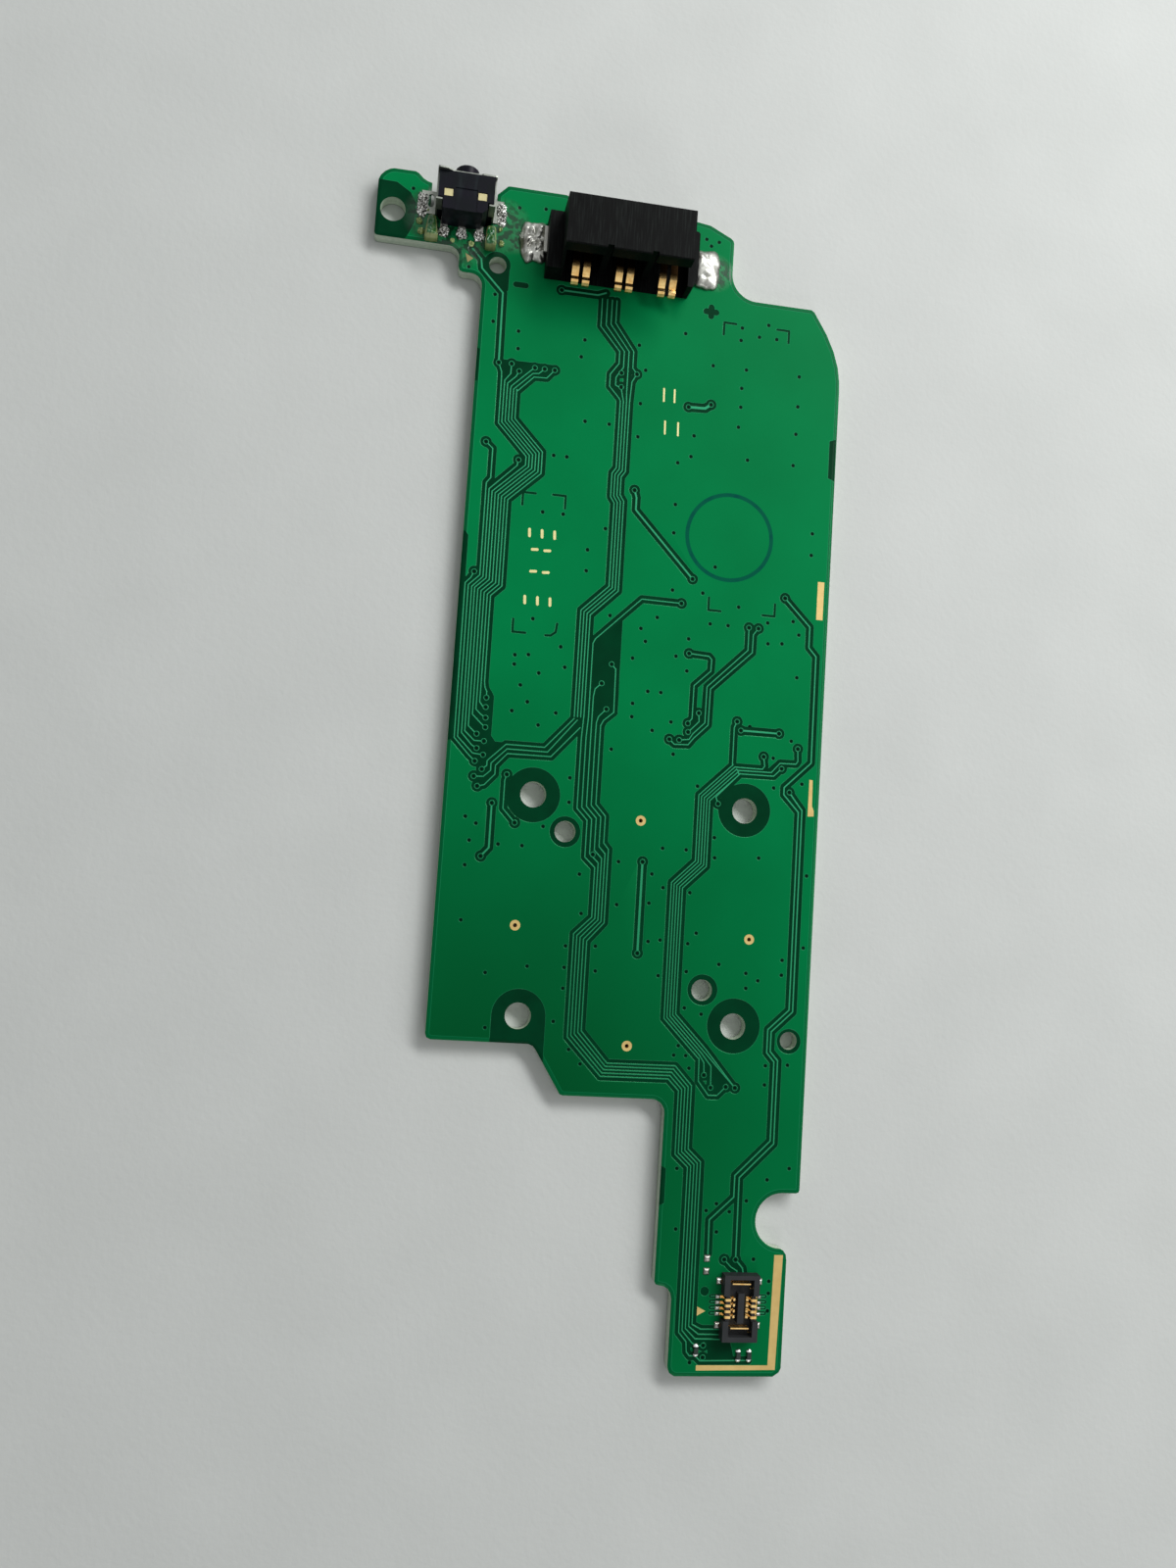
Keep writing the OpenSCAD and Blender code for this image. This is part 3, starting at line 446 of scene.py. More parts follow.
top_side = capsules(tracks, signal_holes, bare_discs, etched_lines)
areas = [np.array([turned(q) for q in area]) for area in bare_areas]
dimples = np.array([turned(q) for q in signal_holes + pour_holes])
print("capsules", len(top_side), "areas", len(areas), "dimples", len(dimples))


# %% Distances to segments and loops
def to_segments(p, a, b):
    """Distance from points p (n, 2) to segments a-b (m, 2), as an (n, m) table."""
    ab = b - a
    t = ((p[:, None] - a) * ab).sum(2) / np.maximum((ab * ab).sum(1), 1e-12)
    near = a + np.clip(t, 0, 1)[..., None] * ab
    return np.linalg.norm(p[:, None] - near, axis=2)


def inside(p, loop):
    """Which of the points p lie inside a closed loop."""
    x, y = p[:, 0, None], p[:, 1, None]
    a, b = loop, np.roll(loop, -1, 0)
    cross = (a[:, 1] > y) != (b[:, 1] > y)
    dy = np.where(b[:, 1] == a[:, 1], 1e-9, b[:, 1] - a[:, 1])
    return (cross & (x < (b[:, 0] - a[:, 0]) * (y - a[:, 1]) / dy + a[:, 0])).sum(1) % 2 == 1


def depth_in(p, loop):
    """How far inside a loop each point lies; outside counts as negative."""
    d = to_segments(p, loop, np.roll(loop, -1, 0)).min(1)
    return np.where(inside(p, loop), d, -d)


print("the artwork's centre lies inside by mm", depth_in(np.zeros((1, 2)), outline).round(2))


# %% Loops moved inward
SHARPEST = 0.45  # keeps the mitre of a sharp corner short


def shrunk(loop, by):
    """A loop moved inward by a distance, with mitred corners."""
    a, q, b = np.roll(loop, 1, 0), loop, np.roll(loop, -1, 0)
    area = (q[:, 0] * b[:, 1] - b[:, 0] * q[:, 1]).sum()
    turn = 1 if area > 0 else -1
    u = (q - a) / np.linalg.norm(q - a, axis=1)[:, None]
    v = (b - q) / np.linalg.norm(b - q, axis=1)[:, None]
    nu, nv = np.stack([-u[:, 1], u[:, 0]], 1) * turn, np.stack([-v[:, 1], v[:, 0]], 1) * turn
    m = nu + nv
    m /= np.linalg.norm(m, axis=1)[:, None]
    return q + m * (by / np.maximum((m * nu).sum(1), SHARPEST))[:, None]


print("the pour spans mm", np.ptp(shrunk(outline, RIM), axis=0).round(2))


# %% Height of the lacquer
def near_rows(p, rows, reach):
    """For each row, the points that its box reaches, with their distances to its segment."""
    x, y = np.ascontiguousarray(p[:, 0]), np.ascontiguousarray(p[:, 1])
    for row in rows:
        r = row[4] + reach
        hit = np.flatnonzero((x > min(row[0], row[2]) - r) & (x < max(row[0], row[2]) + r)
                             & (y > min(row[1], row[3]) - r) & (y < max(row[1], row[3]) + r))
        if len(hit):
            yield row, hit, to_segments(p[hit], row[None, 0:2], row[None, 2:4])[:, 0]


def relief(p, loop, shapes, areas, dimples):
    """Height in mm of the lacquer over points p."""
    pour = np.clip((depth_in(p, loop) - RIM + BEVEL) / BEVEL, RIM_SHARE, 1)
    copper = np.zeros(len(p))
    for row, hit, d in near_rows(p, shapes[shapes[:, 5] == 0], 0):
        full = np.clip(POUR_FULL * (d - row[4] + BEVEL) / BEVEL, 0, 1)
        pour[hit] = np.minimum(pour[hit], full)
    for row, hit, d in near_rows(p, shapes[shapes[:, 5] == 1], 0):
        copper[hit] = np.maximum(copper[hit], np.clip((row[4] - d) / FOOT, 0, 1))
    for area in areas:
        pour = np.minimum(pour, np.clip(-depth_in(p, area) / BEVEL + 1, 0, 1))
    h = LOW + (HIGH - LOW) * np.maximum(pour, TRACK_SHARE * copper)
    dots = np.array([(x, y, x, y, DIMPLE) for x, y in dimples])
    for row, hit, d in near_rows(p, dots, DIMPLE_SLOPE + 0.01):
        sunk = np.clip((DIMPLE + DIMPLE_SLOPE - d) / (2 * DIMPLE_SLOPE), 0, 1)
        h[hit] -= DIMPLE_DEEP * sunk * (h[hit] > LOW + ON_COPPER)
    return np.maximum(h, DIMPLE_LEFT)


print("lacquer in the first dimple mm", relief(dimples[:1], outline, top_side, areas, dimples))


# %% Edges round the capsules
def ring(x, y, r, n):
    """Corners of a regular n-sided ring."""
    t = np.arange(n) * 2 * np.pi / n
    return np.stack([x + r * np.cos(t), y + r * np.sin(t)], 1)


def capsule_edges(rows, radii):
    """Edge pieces round each capsule that lie in no other one."""
    loops = []
    for row, r in zip(rows, radii):
        a, b = row[0:2], row[2:4]
        if np.allclose(a, b):
            loops.append(ring(*a, r, 2 * ARC if r < 0.9 else 6 * ARC))
        else:
            base = math.atan2(b[1] - a[1], b[0] - a[0])
            t = base + np.linspace(-math.pi / 2, math.pi / 2, ARC + 1)
            arm = r * np.stack([np.cos(t), np.sin(t)], 1)
            loops.append(np.concatenate([b + arm, a - arm]))
    owner = np.concatenate([np.full(len(q), k) for k, q in enumerate(loops)])
    s = np.concatenate(loops)
    e = np.concatenate([np.roll(q, -1, 0) for q in loops])
    hidden = np.ones(len(s), bool)
    inner = radii * math.cos(math.pi / ARC / 2) - 1e-4
    numbered = np.column_stack([rows[:, :4], inner, np.arange(len(rows))])
    for q in [s + (e - s) * k for k in np.linspace(0, 1, 8)]:
        covered = np.zeros(len(s), bool)
        for row, hit, d in near_rows(q, numbered, 0):
            covered[hit[(d < row[4]) & (owner[hit] != row[5])]] = True
        hidden &= covered
    return s[~hidden], e[~hidden]


print("sides of a pad", len(ring(0, 0, PAD, 2 * ARC)))


# %% Edges of the drawing
def drawing_edges(loop, holes, shapes, areas, dimples):
    """Every edge that the triangulation keeps, as start and end points."""
    starts, ends = [], []

    def add(s, e):
        starts.append(s)
        ends.append(e)

    def add_loop(q):
        add(q, np.roll(q, -1, 0))

    etched, grown = shapes[shapes[:, 5] == 0], shapes[shapes[:, 5] == 1]
    for part in (0, 0.5, 1):
        add(*capsule_edges(etched, etched[:, 4] - BEVEL * part))
        add(*capsule_edges(grown, grown[:, 4] - FOOT * part))
        for area in areas:
            add_loop(shrunk(area, BEVEL * (1 - part)))
        add_loop(shrunk(loop, RIM - BEVEL * part))
    for x, y in dimples:
        for r in (DIMPLE + DIMPLE_SLOPE, DIMPLE, DIMPLE - DIMPLE_SLOPE):
            add_loop(ring(x, y, r, 10))
    for q in [loop, *holes]:
        add_loop(q)
    return np.concatenate(starts), np.concatenate(ends)


print("sheets nest their edges at", (0, 0.5, 1), "of each bevel")

# %% [markdown]
# ## The plan of a sheet
# A sheet's plan holds its corners, triangles, heights and the directions in which the surface
# faces. Those directions are worked out from the height itself, not from the flat triangles, so
# a bevel of three edges shines like a rounded one.

# %% Plan of a sheet
STEEP = 1.45  # a bevel is shaded as steeper than it is, as a rounded one looks
ROLL = 0.11  # how strongly the lacquer rolls off at the outline
STEP = 0.006  # mm between the two heights that give a slope


def triangulated(loop, holes, *drawing):
    """Flat corners and triangles inside a loop and outside its holes, with all edges kept."""
    s, e = drawing_edges(loop, holes, *drawing)
    both = np.round(np.concatenate([s, e]), 4)
    points, index = np.unique(both, axis=0, return_inverse=True)
    index = index.reshape(-1)
    pairs = [(int(a), int(b)) for a, b in zip(index[:len(s)], index[len(s):]) if a != b]
    made = geometry.delaunay_2d_cdt([Vector(q) for q in points], pairs, [], 0, 1e-5)
    flat, tri = np.array([tuple(v) for v in made[0]]), np.array(made[2])
    mid = flat[tri].mean(1)
    ok = inside(mid, loop)
    for q in holes:
        ok &= ~inside(mid, q)
    used, tri = np.unique(tri[ok], return_inverse=True)
    return flat[used], tri.reshape(-1, 3)


def sheet_plan(loop, holes, *drawing):
    """Corners, triangles, heights and upward directions of the lacquer inside a loop."""
    flat, tri = triangulated(loop, holes, *drawing)
    sideways = np.array((STEP, 0)), np.array((0, STEP))
    height = relief(flat, loop, *drawing)
    fall = [(relief(flat - d, loop, *drawing) - relief(flat + d, loop, *drawing)) / (2 * STEP)
            for d in sideways]
    share = (height - LOW) / (HIGH - LOW)
    bend = STEEP * np.clip(4 * share * (1 - share), 0, 1)

    def roll(p):
        return ROLL * (1 - np.clip(depth_in(p, loop) / RIM, 0, 1)) ** 2

    rolled = [(roll(flat + d) - roll(flat - d)) / (2 * STEP) for d in sideways]
    up = np.stack([fall[0] * bend + rolled[0], fall[1] * bend + rolled[1],
                   np.ones(len(flat))], 1)
    return flat, tri, height, up / np.linalg.norm(up, axis=1)[:, None]


print("slopes are measured over mm", 2 * STEP)

# %% [markdown]
# ## Shared effects
# Three effects come back in many finishes: a slow drift between two tones, a fine bump, and
# scratches or streaks along one direction. Each is one node group, built once and placed in a
# material with its own values. Painting them by hand would need UV maps and pictures; noise in
# object space needs neither.

# %% Node helpers
def node(tree, kind, links=(), **values):
    """A node with its values set and its inputs linked, given as (input, output socket)."""
    made = tree.nodes.new(kind)
    for key, value in values.items():
        if hasattr(made, key):
            setattr(made, key, value)
        else:
            made.inputs[key.replace("_", " ")].default_value = value
    for target, source in links:
        tree.links.new(source, made.inputs[target])
    return made


def maths(tree, kind, a, b=0.0, clamp=False):
    """One Math node; a and b are output sockets or plain numbers."""
    made = node(tree, "ShaderNodeMath", operation=kind, use_clamp=clamp)
    for i, v in enumerate((a, b)):
        if isinstance(v, (int, float)):
            made.inputs[i].default_value = v
        else:
            tree.links.new(v, made.inputs[i])
    return made.outputs[0]


def ramp(tree, value, low, high, to_low=0.0, to_high=1.0):
    """A value taken from one range to another, held at the ends."""
    return node(tree, "ShaderNodeMapRange", [("Value", value)], From_Min=low, From_Max=high,
                To_Min=to_low, To_Max=to_high).outputs[0]


def blend(tree, factor, a, b):
    """A mix of two colours, each an output socket or a plain colour."""
    made = node(tree, "ShaderNodeMix", [("Factor", factor)], data_type="RGBA")
    for i, v in ((6, a), (7, b)):
        if isinstance(v, tuple):
            made.inputs[i].default_value = v
        else:
            tree.links.new(v, made.inputs[i])
    return made.outputs[2]


def axis_of(tree, output, letter, kind="ShaderNodeTexCoord"):
    """One axis of a texture coordinate or, with the other kind, of the geometry."""
    place = node(tree, kind)
    return node(tree, "ShaderNodeSeparateXYZ", [(0, place.outputs[output])]).outputs[letter]


print("node helpers", [f.__name__ for f in (node, maths, ramp, blend, axis_of)])


# %% Node group helpers
def new_group(name, inputs, outputs):
    """An empty node group with these sockets, and its input and output nodes."""
    group = bpy.data.node_groups.new(name, "ShaderNodeTree")
    for title, kind, value in inputs:
        socket = group.interface.new_socket(title, in_out="INPUT", socket_type=kind)
        if value is not None:
            socket.default_value = value
    for title, kind in outputs:
        group.interface.new_socket(title, in_out="OUTPUT", socket_type=kind)
    return group, group.nodes.new("NodeGroupInput"), group.nodes.new("NodeGroupOutput")


COLOR, FLOAT, VECTOR = "NodeSocketColor", "NodeSocketFloat", "NodeSocketVector"


def object_point(tree, size):
    """Object coordinates divided by a size in mm that comes from a socket."""
    place = node(tree, "ShaderNodeTexCoord")
    metres = maths(tree, "MULTIPLY", size, MM)
    whole = node(tree, "ShaderNodeCombineXYZ", [(i, metres) for i in range(3)])
    return node(tree, "ShaderNodeVectorMath",
                [(0, place.outputs["Object"]), (1, whole.outputs[0])], operation="DIVIDE")


print("sockets", COLOR, FLOAT, VECTOR)

# %% Group: two tones that drift into each other
drift, g_in, g_out = new_group(
    "tone drift", [("Tone A", COLOR, None), ("Tone B", COLOR, None), ("Size", FLOAT, 1.0),
                   ("Contrast", FLOAT, 1.0)], [("Color", COLOR), ("Value", FLOAT)])
p = object_point(drift, g_in.outputs["Size"])
n = node(drift, "ShaderNodeTexNoise", [("Vector", p.outputs[0])], Scale=1.0, Detail=4.0)
c = maths(drift, "SUBTRACT", n.outputs["Fac"], 0.5)
c = maths(drift, "MULTIPLY", c, g_in.outputs["Contrast"])
c = maths(drift, "ADD", c, 0.5, clamp=True)
drift.links.new(blend(drift, c, g_in.outputs["Tone A"], g_in.outputs["Tone B"]),
                g_out.inputs["Color"])
drift.links.new(c, g_out.inputs["Value"])
print(drift.name, "nodes", len(drift.nodes))

# %% Group: fine bump
grain, g_in, g_out = new_group(
    "fine grain", [("Size", FLOAT, 0.1), ("Depth", FLOAT, 0.002)], [("Normal", VECTOR)])
p = object_point(grain, g_in.outputs["Size"])
n = node(grain, "ShaderNodeTexNoise", [("Vector", p.outputs[0])], Scale=1.0, Detail=3.0)
b = node(grain, "ShaderNodeBump", [("Height", n.outputs["Fac"]),
                                   ("Distance", maths(grain, "MULTIPLY",
                                                      g_in.outputs["Depth"], MM))])
grain.links.new(b.outputs[0], g_out.inputs["Normal"])
print(grain.name, "nodes", len(grain.nodes))

# %% Group: streaks along one axis
streaks, g_in, g_out = new_group(
    "streaks", [("Stretch", VECTOR, (1.0, 1.0, 1.0)), ("Sharpness", FLOAT, 4.0)],
    [("Mask", FLOAT)])
place = node(streaks, "ShaderNodeTexCoord")
p = node(streaks, "ShaderNodeVectorMath",
         [(0, place.outputs["Object"]), (1, g_in.outputs["Stretch"])], operation="MULTIPLY")
n = node(streaks, "ShaderNodeTexNoise", [("Vector", p.outputs[0])], Scale=1000.0, Detail=3.0)
c = maths(streaks, "SUBTRACT", n.outputs["Fac"], 0.5)
c = maths(streaks, "MULTIPLY", c, g_in.outputs["Sharpness"], clamp=True)
streaks.links.new(c, g_out.inputs["Mask"])
print(streaks.name, "nodes", len(streaks.nodes))


# %% Material helpers
def new_material(name, **values):
    """A material whose Principled BSDF has these plain values on its own sockets."""
    made = bpy.data.materials.new(name)
    made.use_nodes = True
    tree = made.node_tree
    shader = tree.nodes["Principled BSDF"]
    for key, value in values.items():
        shader.inputs[key.replace("_", " ")].default_value = value
    return made, tree, shader


def placed(tree, group, **values):
    """A node group placed in a material, with its own values."""
    made = tree.nodes.new("ShaderNodeGroup")
    made.node_tree = group
    for key, value in values.items():
        made.inputs[key.replace("_", " ")].default_value = value
    return made


def rgb(r, g, b):
    """A colour written in the everyday 0 to 255 scale, in the linear one of a shader."""
    return tuple((c / 255 / 12.92) if c <= 10 else ((c / 255 + 0.055) / 1.055) ** 2.4
                 for c in (r, g, b)) + (1.0,)


def simple_finish(name, tone_a, tone_b, size, depth, tone_size=0.8, contrast=1.6, **values):
    """Two drifting tones and a fine bump: the base of every moulded or metal part."""
    made, tree, shader = new_material(name, **values)
    tones = placed(tree, drift, Tone_A=tone_a, Tone_B=tone_b, Size=tone_size,
                   Contrast=contrast)
    bump = placed(tree, grain, Size=size, Depth=depth)
    tree.links.new(tones.outputs["Color"], shader.inputs["Base Color"])
    tree.links.new(bump.outputs["Normal"], shader.inputs["Normal"])
    return made, tree, shader


def lay_over(tree, shader, mask, colour):
    """Blends a colour over what already feeds the base colour."""
    base = shader.inputs["Base Color"].links[0].from_socket
    tree.links.new(blend(tree, mask, base, colour), shader.inputs["Base Color"])


print("mid grey is", round(rgb(128, 128, 128)[0], 3), "in a shader")

# %% [markdown]
# ## The green lacquer
# Solder mask is a glossy, slightly clear green lacquer. Over copper it looks bright, over bare
# laminate it goes dark, and it thins at copper edges. The height of the relief already knows
# which is which, so one material reads the height and picks the tone. The other way, a separate
# material for each area, would give hard seams along the bevels.

# %% Lacquer
SHADE_AT, SHADE_FROM, SHADE_TO = (-10.5, -18.0), 36.0, 4.0  # painted shade: where the lacquer is painted darkest, mm


def distance_mm(tree, x, y):
    """Distance in the board's plane from a point in mm."""
    place = node(tree, "ShaderNodeTexCoord")
    off = node(tree, "ShaderNodeVectorMath", [(0, place.outputs["Object"])],
               operation="SUBTRACT")
    off.inputs[1].default_value = (x * MM, y * MM, 0.0)
    flat = node(tree, "ShaderNodeVectorMath", [(0, off.outputs[0])], operation="MULTIPLY")
    flat.inputs[1].default_value = (1 / MM, 1 / MM, 0.0)
    return node(tree, "ShaderNodeVectorMath", [(0, flat.outputs[0])],
                operation="LENGTH").outputs["Value"]


def tone_by_height(tree, sign, level):
    """The lacquer's colour and its share of full height, over the face at level."""
    z = axis_of(tree, "Object", "Z")
    share = ramp(tree, z, level + sign * LOW * MM, level + sign * HIGH * MM)
    # painted shade: the pour and the narrow copper are painted darker towards one point at the
    # lower left, where a soft shadow lay
    shadow_share = ramp(tree, distance_mm(tree, *SHADE_AT), SHADE_TO, SHADE_FROM, 1.0, 0.0)
    pour = placed(tree, drift, Tone_A=rgb(0, 112, 60), Tone_B=rgb(0, 124, 68), Size=9.0,
                  Contrast=2.0)
    pour = blend(tree, shadow_share, pour.outputs["Color"], rgb(0, 70, 33))
    narrow = blend(tree, shadow_share, rgb(52, 158, 112), rgb(26, 118, 76))
    bare = placed(tree, drift, Tone_A=rgb(0, 46, 25), Tone_B=rgb(0, 58, 32), Size=2.0,
                  Contrast=2.0)
    # painted shade: the bottom of each dimple is painted near black, for the shade inside the
    # hole below it
    hole_shade = ramp(tree, z, level + sign * DIMPLE_LEFT * MM, level + sign * 0.8 * LOW * MM)
    tone = blend(tree, hole_shade, rgb(0, 22, 11), bare.outputs["Color"])
    # upwards: the slope and the thin rim, then narrow copper, then the pour
    for low, high, colour in ((0.48, 0.6, rgb(0, 92, 50)), (0.7, 0.78, narrow),
                              (0.86, 0.92, pour)):
        tone = blend(tree, ramp(tree, share, low, high), tone, colour)
    return tone, share


def lacquer(name, sign, level):
    """Green lacquer; where it bends over an edge, the copper gleams through a glossy coat."""
    made, tree, shader = new_material(name, Roughness=0.36, Specular_IOR_Level=0.03,
                                      Coat_Roughness=0.26)
    tone, share = tone_by_height(tree, sign, level)
    level_at = maths(tree, "ABSOLUTE", axis_of(tree, "Normal", "Z"))
    bend = maths(tree, "MULTIPLY", ramp(tree, level_at, 0.98, 0.9),
                 ramp(tree, share, 0.15, 0.5))
    coat = maths(tree, "MULTIPLY", bend, 0.16)
    bump = placed(tree, grain, Size=0.9, Depth=0.0012).outputs["Normal"]
    for source, target in ((coat, "Coat Weight"), (maths(tree, "MULTIPLY", bend, 0.62),
                                                   "Metallic"),
                           (tone, "Base Color"), (bump, "Normal")):
        tree.links.new(source, shader.inputs[target])
    return made, tree, shader, tone, coat, bump


lacquer_top, tree, shader, tone, coat, smooth = lacquer("lacquer_top", 1, MM)
lacquer_under = lacquer("lacquer_under", -1, 0.0)[0]
print("lacquers", lacquer_top.name, lacquer_under.name)

# %% [markdown]
# ## Ink and flux on the lacquer
# An inspector's ink ring lies on the lacquer, and a wet film of flux stays round the joints that
# were soldered by hand. Neither has a thickness that shows, so both are masks in the lacquer's
# material: a distance to a circle for the ring, and soft spots with blotches for the film.

# %% Ink ring, left without any sign in it
INK_AT, INK_R, INK_HALF = turned((5.75, 28.7)), 3.3, 0.145
edge = maths(tree, "ABSOLUTE", maths(tree, "SUBTRACT", distance_mm(tree, *INK_AT), INK_R))
uneven = placed(tree, streaks, Stretch=(0.9, 0.9, 0.9), Sharpness=3.0)
worn = maths(tree, "ADD", maths(tree, "MULTIPLY", uneven.outputs[0], 0.3), 0.7)
inked = maths(tree, "MULTIPLY", ramp(tree, edge, INK_HALF - 0.02, INK_HALF + 0.03, 0.95, 0.0),
              worn)
tone = blend(tree, inked, tone, rgb(0, 58, 62))
print("ink ring at mm", [round(v, 2) for v in INK_AT], "radius", INK_R)

# %% Flux film
# centre and radius of each spot, in mm: four round the switch, one beside the battery socket
flux_spots = ((-18.6, 50.6, 2.3), (-16.4, 49.3, 2.6), (-13.4, 50.6, 2.4), (3.3, 49.4, 1.6),
              (-12.2, 49.6, 1.1))
film = 0.0
for x, y, r in flux_spots:
    film = maths(tree, "MAXIMUM", film,
                 ramp(tree, distance_mm(tree, x, y), 0.55 * r, r, 1.0, 0.0))
blotch = placed(tree, drift, Tone_A=rgb(0, 28, 12), Tone_B=rgb(0, 104, 56), Size=0.55,
                Contrast=9.0)
wet = maths(tree, "MULTIPLY", film, ramp(tree, blotch.outputs["Value"], 0.2, 0.8, 0.8, 0.15))
ripple = node(tree, "ShaderNodeBump", [("Height", blotch.outputs["Value"]), ("Strength", film),
                                       ("Normal", smooth)], Distance=0.06 * MM)
glossy = maths(tree, "MAXIMUM", coat, maths(tree, "MULTIPLY", film, 0.6))
for source, target in ((blend(tree, wet, tone, blotch.outputs["Color"]), "Base Color"),
                       (ripple.outputs[0], "Normal"), (glossy, "Coat Weight")):
    tree.links.new(source, shader.inputs[target])
print("flux spots", len(flux_spots))

# %% [markdown]
# ## The laminate's edge
# The cut edge shows the glass laminate: pale, fibrous and matt, with a thin lacquer line above
# and below. The CAD board keeps its shape and only takes this finish.

# %% Laminate
laminate, tree, shader = simple_finish(
    "laminate_edge", rgb(192, 202, 184), rgb(158, 174, 154), 0.05, 0.004, tone_size=0.25,
    Roughness=0.62)
layers = placed(tree, streaks, Stretch=(0.15, 0.15, 9.0), Sharpness=3.0)
lay_over(tree, shader, layers.outputs[0], rgb(122, 150, 124))
facing = maths(tree, "ABSOLUTE", axis_of(tree, "Normal", "Z", "ShaderNodeNewGeometry"))
lay_over(tree, shader, maths(tree, "GREATER_THAN", facing, 0.7), rgb(0, 56, 36))
print("laminate", laminate.name)

# %% [markdown]
# ## Metals
# The contacts are gold over spring metal, the marks and strips are thin gold plate, the frame and
# feet are dull tin. All come from the same recipe of two tones and a bump. A gold finger of the
# battery socket is bright at its tip and painted dark towards its root: painted shade of the
# roof.

# %% Gold
ROOF_SHADE_FROM, ROOF_SHADE_TO = 47.25, 48.0  # mm along the battery socket's fingers, towards the root
plated_gold = simple_finish("plated_gold", rgb(206, 180, 114), rgb(190, 160, 96), 0.05, 0.0015,
                            Roughness=0.5, Metallic=0.35)[0]
spring_gold, tree, shader = simple_finish("spring_gold", rgb(255, 226, 158), rgb(224, 168, 88),
                                          0.08, 0.004, tone_size=0.3, Roughness=0.2,
                                          Metallic=0.95)
# painted shade: the fingers are painted dark brown towards their root, where the socket's roof
# shades them
lay_over(tree, shader, ramp(tree, axis_of(tree, "Object", "Y"), ROOF_SHADE_FROM * MM,
                            ROOF_SHADE_TO * MM), rgb(66, 46, 24))
bar_gold = simple_finish("bar_gold", rgb(226, 218, 158), rgb(210, 198, 132), 0.06, 0.002,
                         tone_size=0.4, Roughness=0.5, Metallic=0.2)[0]
dull_gold = simple_finish("dull_gold", rgb(146, 138, 86), rgb(112, 104, 60), 0.1, 0.004,
                          Roughness=0.5, Metallic=0.1)[0]
print("golds", [m.name for m in (plated_gold, spring_gold, bar_gold, dull_gold)])

# %% Tin, steel and solder
tin_plate = simple_finish("tin_plate", rgb(206, 206, 198), rgb(168, 168, 160), 0.06, 0.003,
                          Roughness=0.45, Metallic=0.85)[0]
dull_steel = simple_finish("dull_steel", rgb(150, 154, 146), rgb(104, 108, 102), 0.1, 0.006,
                           tone_size=0.5, Roughness=0.42, Metallic=0.9)[0]
solder_skin = simple_finish("solder_skin", rgb(196, 197, 190), rgb(110, 109, 102), 0.3, 0.01,
                            tone_size=0.7, contrast=2.4, Roughness=0.36, Metallic=0.95)[0]
# painted highlights: the white tone stands for glints on the creased solder; the dark tone is
# flux over it
solder_glints_and_flux = simple_finish("solder_glints_and_flux", rgb(255, 255, 250), rgb(40, 38, 32), 0.14, 0.03,
                             tone_size=0.15, contrast=5.0, Roughness=0.22, Metallic=0.7)[0]
print("tins", [m.name for m in (tin_plate, dull_steel, solder_skin, solder_glints_and_flux)])

# %% [markdown]
# ## Mouldings and chips
# The sockets and the switch are glass-filled plastics of three blacks, and a beige insulator
# shows in the switch's windows. Streaks drawn along the battery socket and the switch stand for
# the marks of mould and tool. A chip has tin at both ends and a dark body between them, so its
# finish changes along its own length.

# %% Mouldings
insulator = simple_finish("insulator_beige", rgb(214, 204, 150), rgb(190, 180, 128), 0.05,
                          0.003, Roughness=0.5)[0]
socket_grey = simple_finish("socket_grey", rgb(44, 46, 48), rgb(34, 36, 38), 0.05, 0.004,
                            Roughness=0.5, Specular_IOR_Level=0.2)[0]


def streaked(name, tone_a, tone_b, scratch, stretch, **values):
    """A moulding with fine lines of a scratch colour drawn over it."""
    made, tree, shader = simple_finish(name, tone_a, tone_b, 0.05, 0.004, **values)
    lines = placed(tree, streaks, Stretch=stretch, Sharpness=2.5)
    lay_over(tree, shader, lines.outputs[0], scratch)
    return made


socket_black = streaked("socket_black", rgb(8, 9, 9), rgb(3, 4, 4), rgb(38, 43, 41),
                        (12.0, 0.5, 12.0), Roughness=0.5, Specular_IOR_Level=0.05)
switch_navy = streaked("switch_navy", rgb(13, 10, 23), rgb(5, 11, 14), rgb(38, 46, 50),
                       (1.5, 0.25, 1.5), tone_size=1.6, contrast=3.0, Roughness=0.35,
                       Specular_IOR_Level=0.1)
print("mouldings", [m.name for m in (insulator, socket_grey, socket_black, switch_navy)])

# %% Chips
CAP_FROM, CAP_TO = 0.27, 0.3  # distance from the middle, as a share of the length
chip_tin, tree, shader = simple_finish("chip_ends", rgb(15, 34, 27), rgb(9, 22, 18), 0.04, 0.003,
                                       Roughness=0.28)
along = maths(tree, "SUBTRACT", axis_of(tree, "Generated", "Y"), 0.5)
ends = ramp(tree, maths(tree, "ABSOLUTE", along), CAP_FROM, CAP_TO)
lay_over(tree, shader, ends, rgb(226, 228, 224))
tree.links.new(ends, shader.inputs["Metallic"])
print("chips", chip_tin.name)

# %% Finishes on the CAD pieces
finish_words = ((("index_mark_switch",), dull_gold),  # the first row that fits a name counts
                (("strip", "edge_pad", "index", "vent", "key_pad"), plated_gold),
                (("contact", "clip"), spring_gold),
                (("switch_frame",), dull_steel),
                (("tab", "frame", "terminal", "dome"), tin_plate),
                (("solder",), solder_skin), (("battery_socket",), socket_black),
                (("switch_housing", "plunger"), switch_navy),
                (("switch_base",), insulator), (("flex_socket",), socket_grey),
                (("chip",), chip_tin), (("pcb",), laminate))
finish_of = {}
for name, part in NODES.items():
    finish_of[name] = next(made for words, made in finish_words if any(w in name for w in words))
    part.data.materials.clear()
    part.data.materials.append(finish_of[name])
print("finishes", len(set(finish_of.values())), "on", len(finish_of), "nodes")

# %% [markdown]
# ## The two lacquer sheets
# Each sheet is closed underneath and at its rims, which keeps the mesh a proper solid. The
# directions from the plan are set on its upper corners, so the shading follows the height.

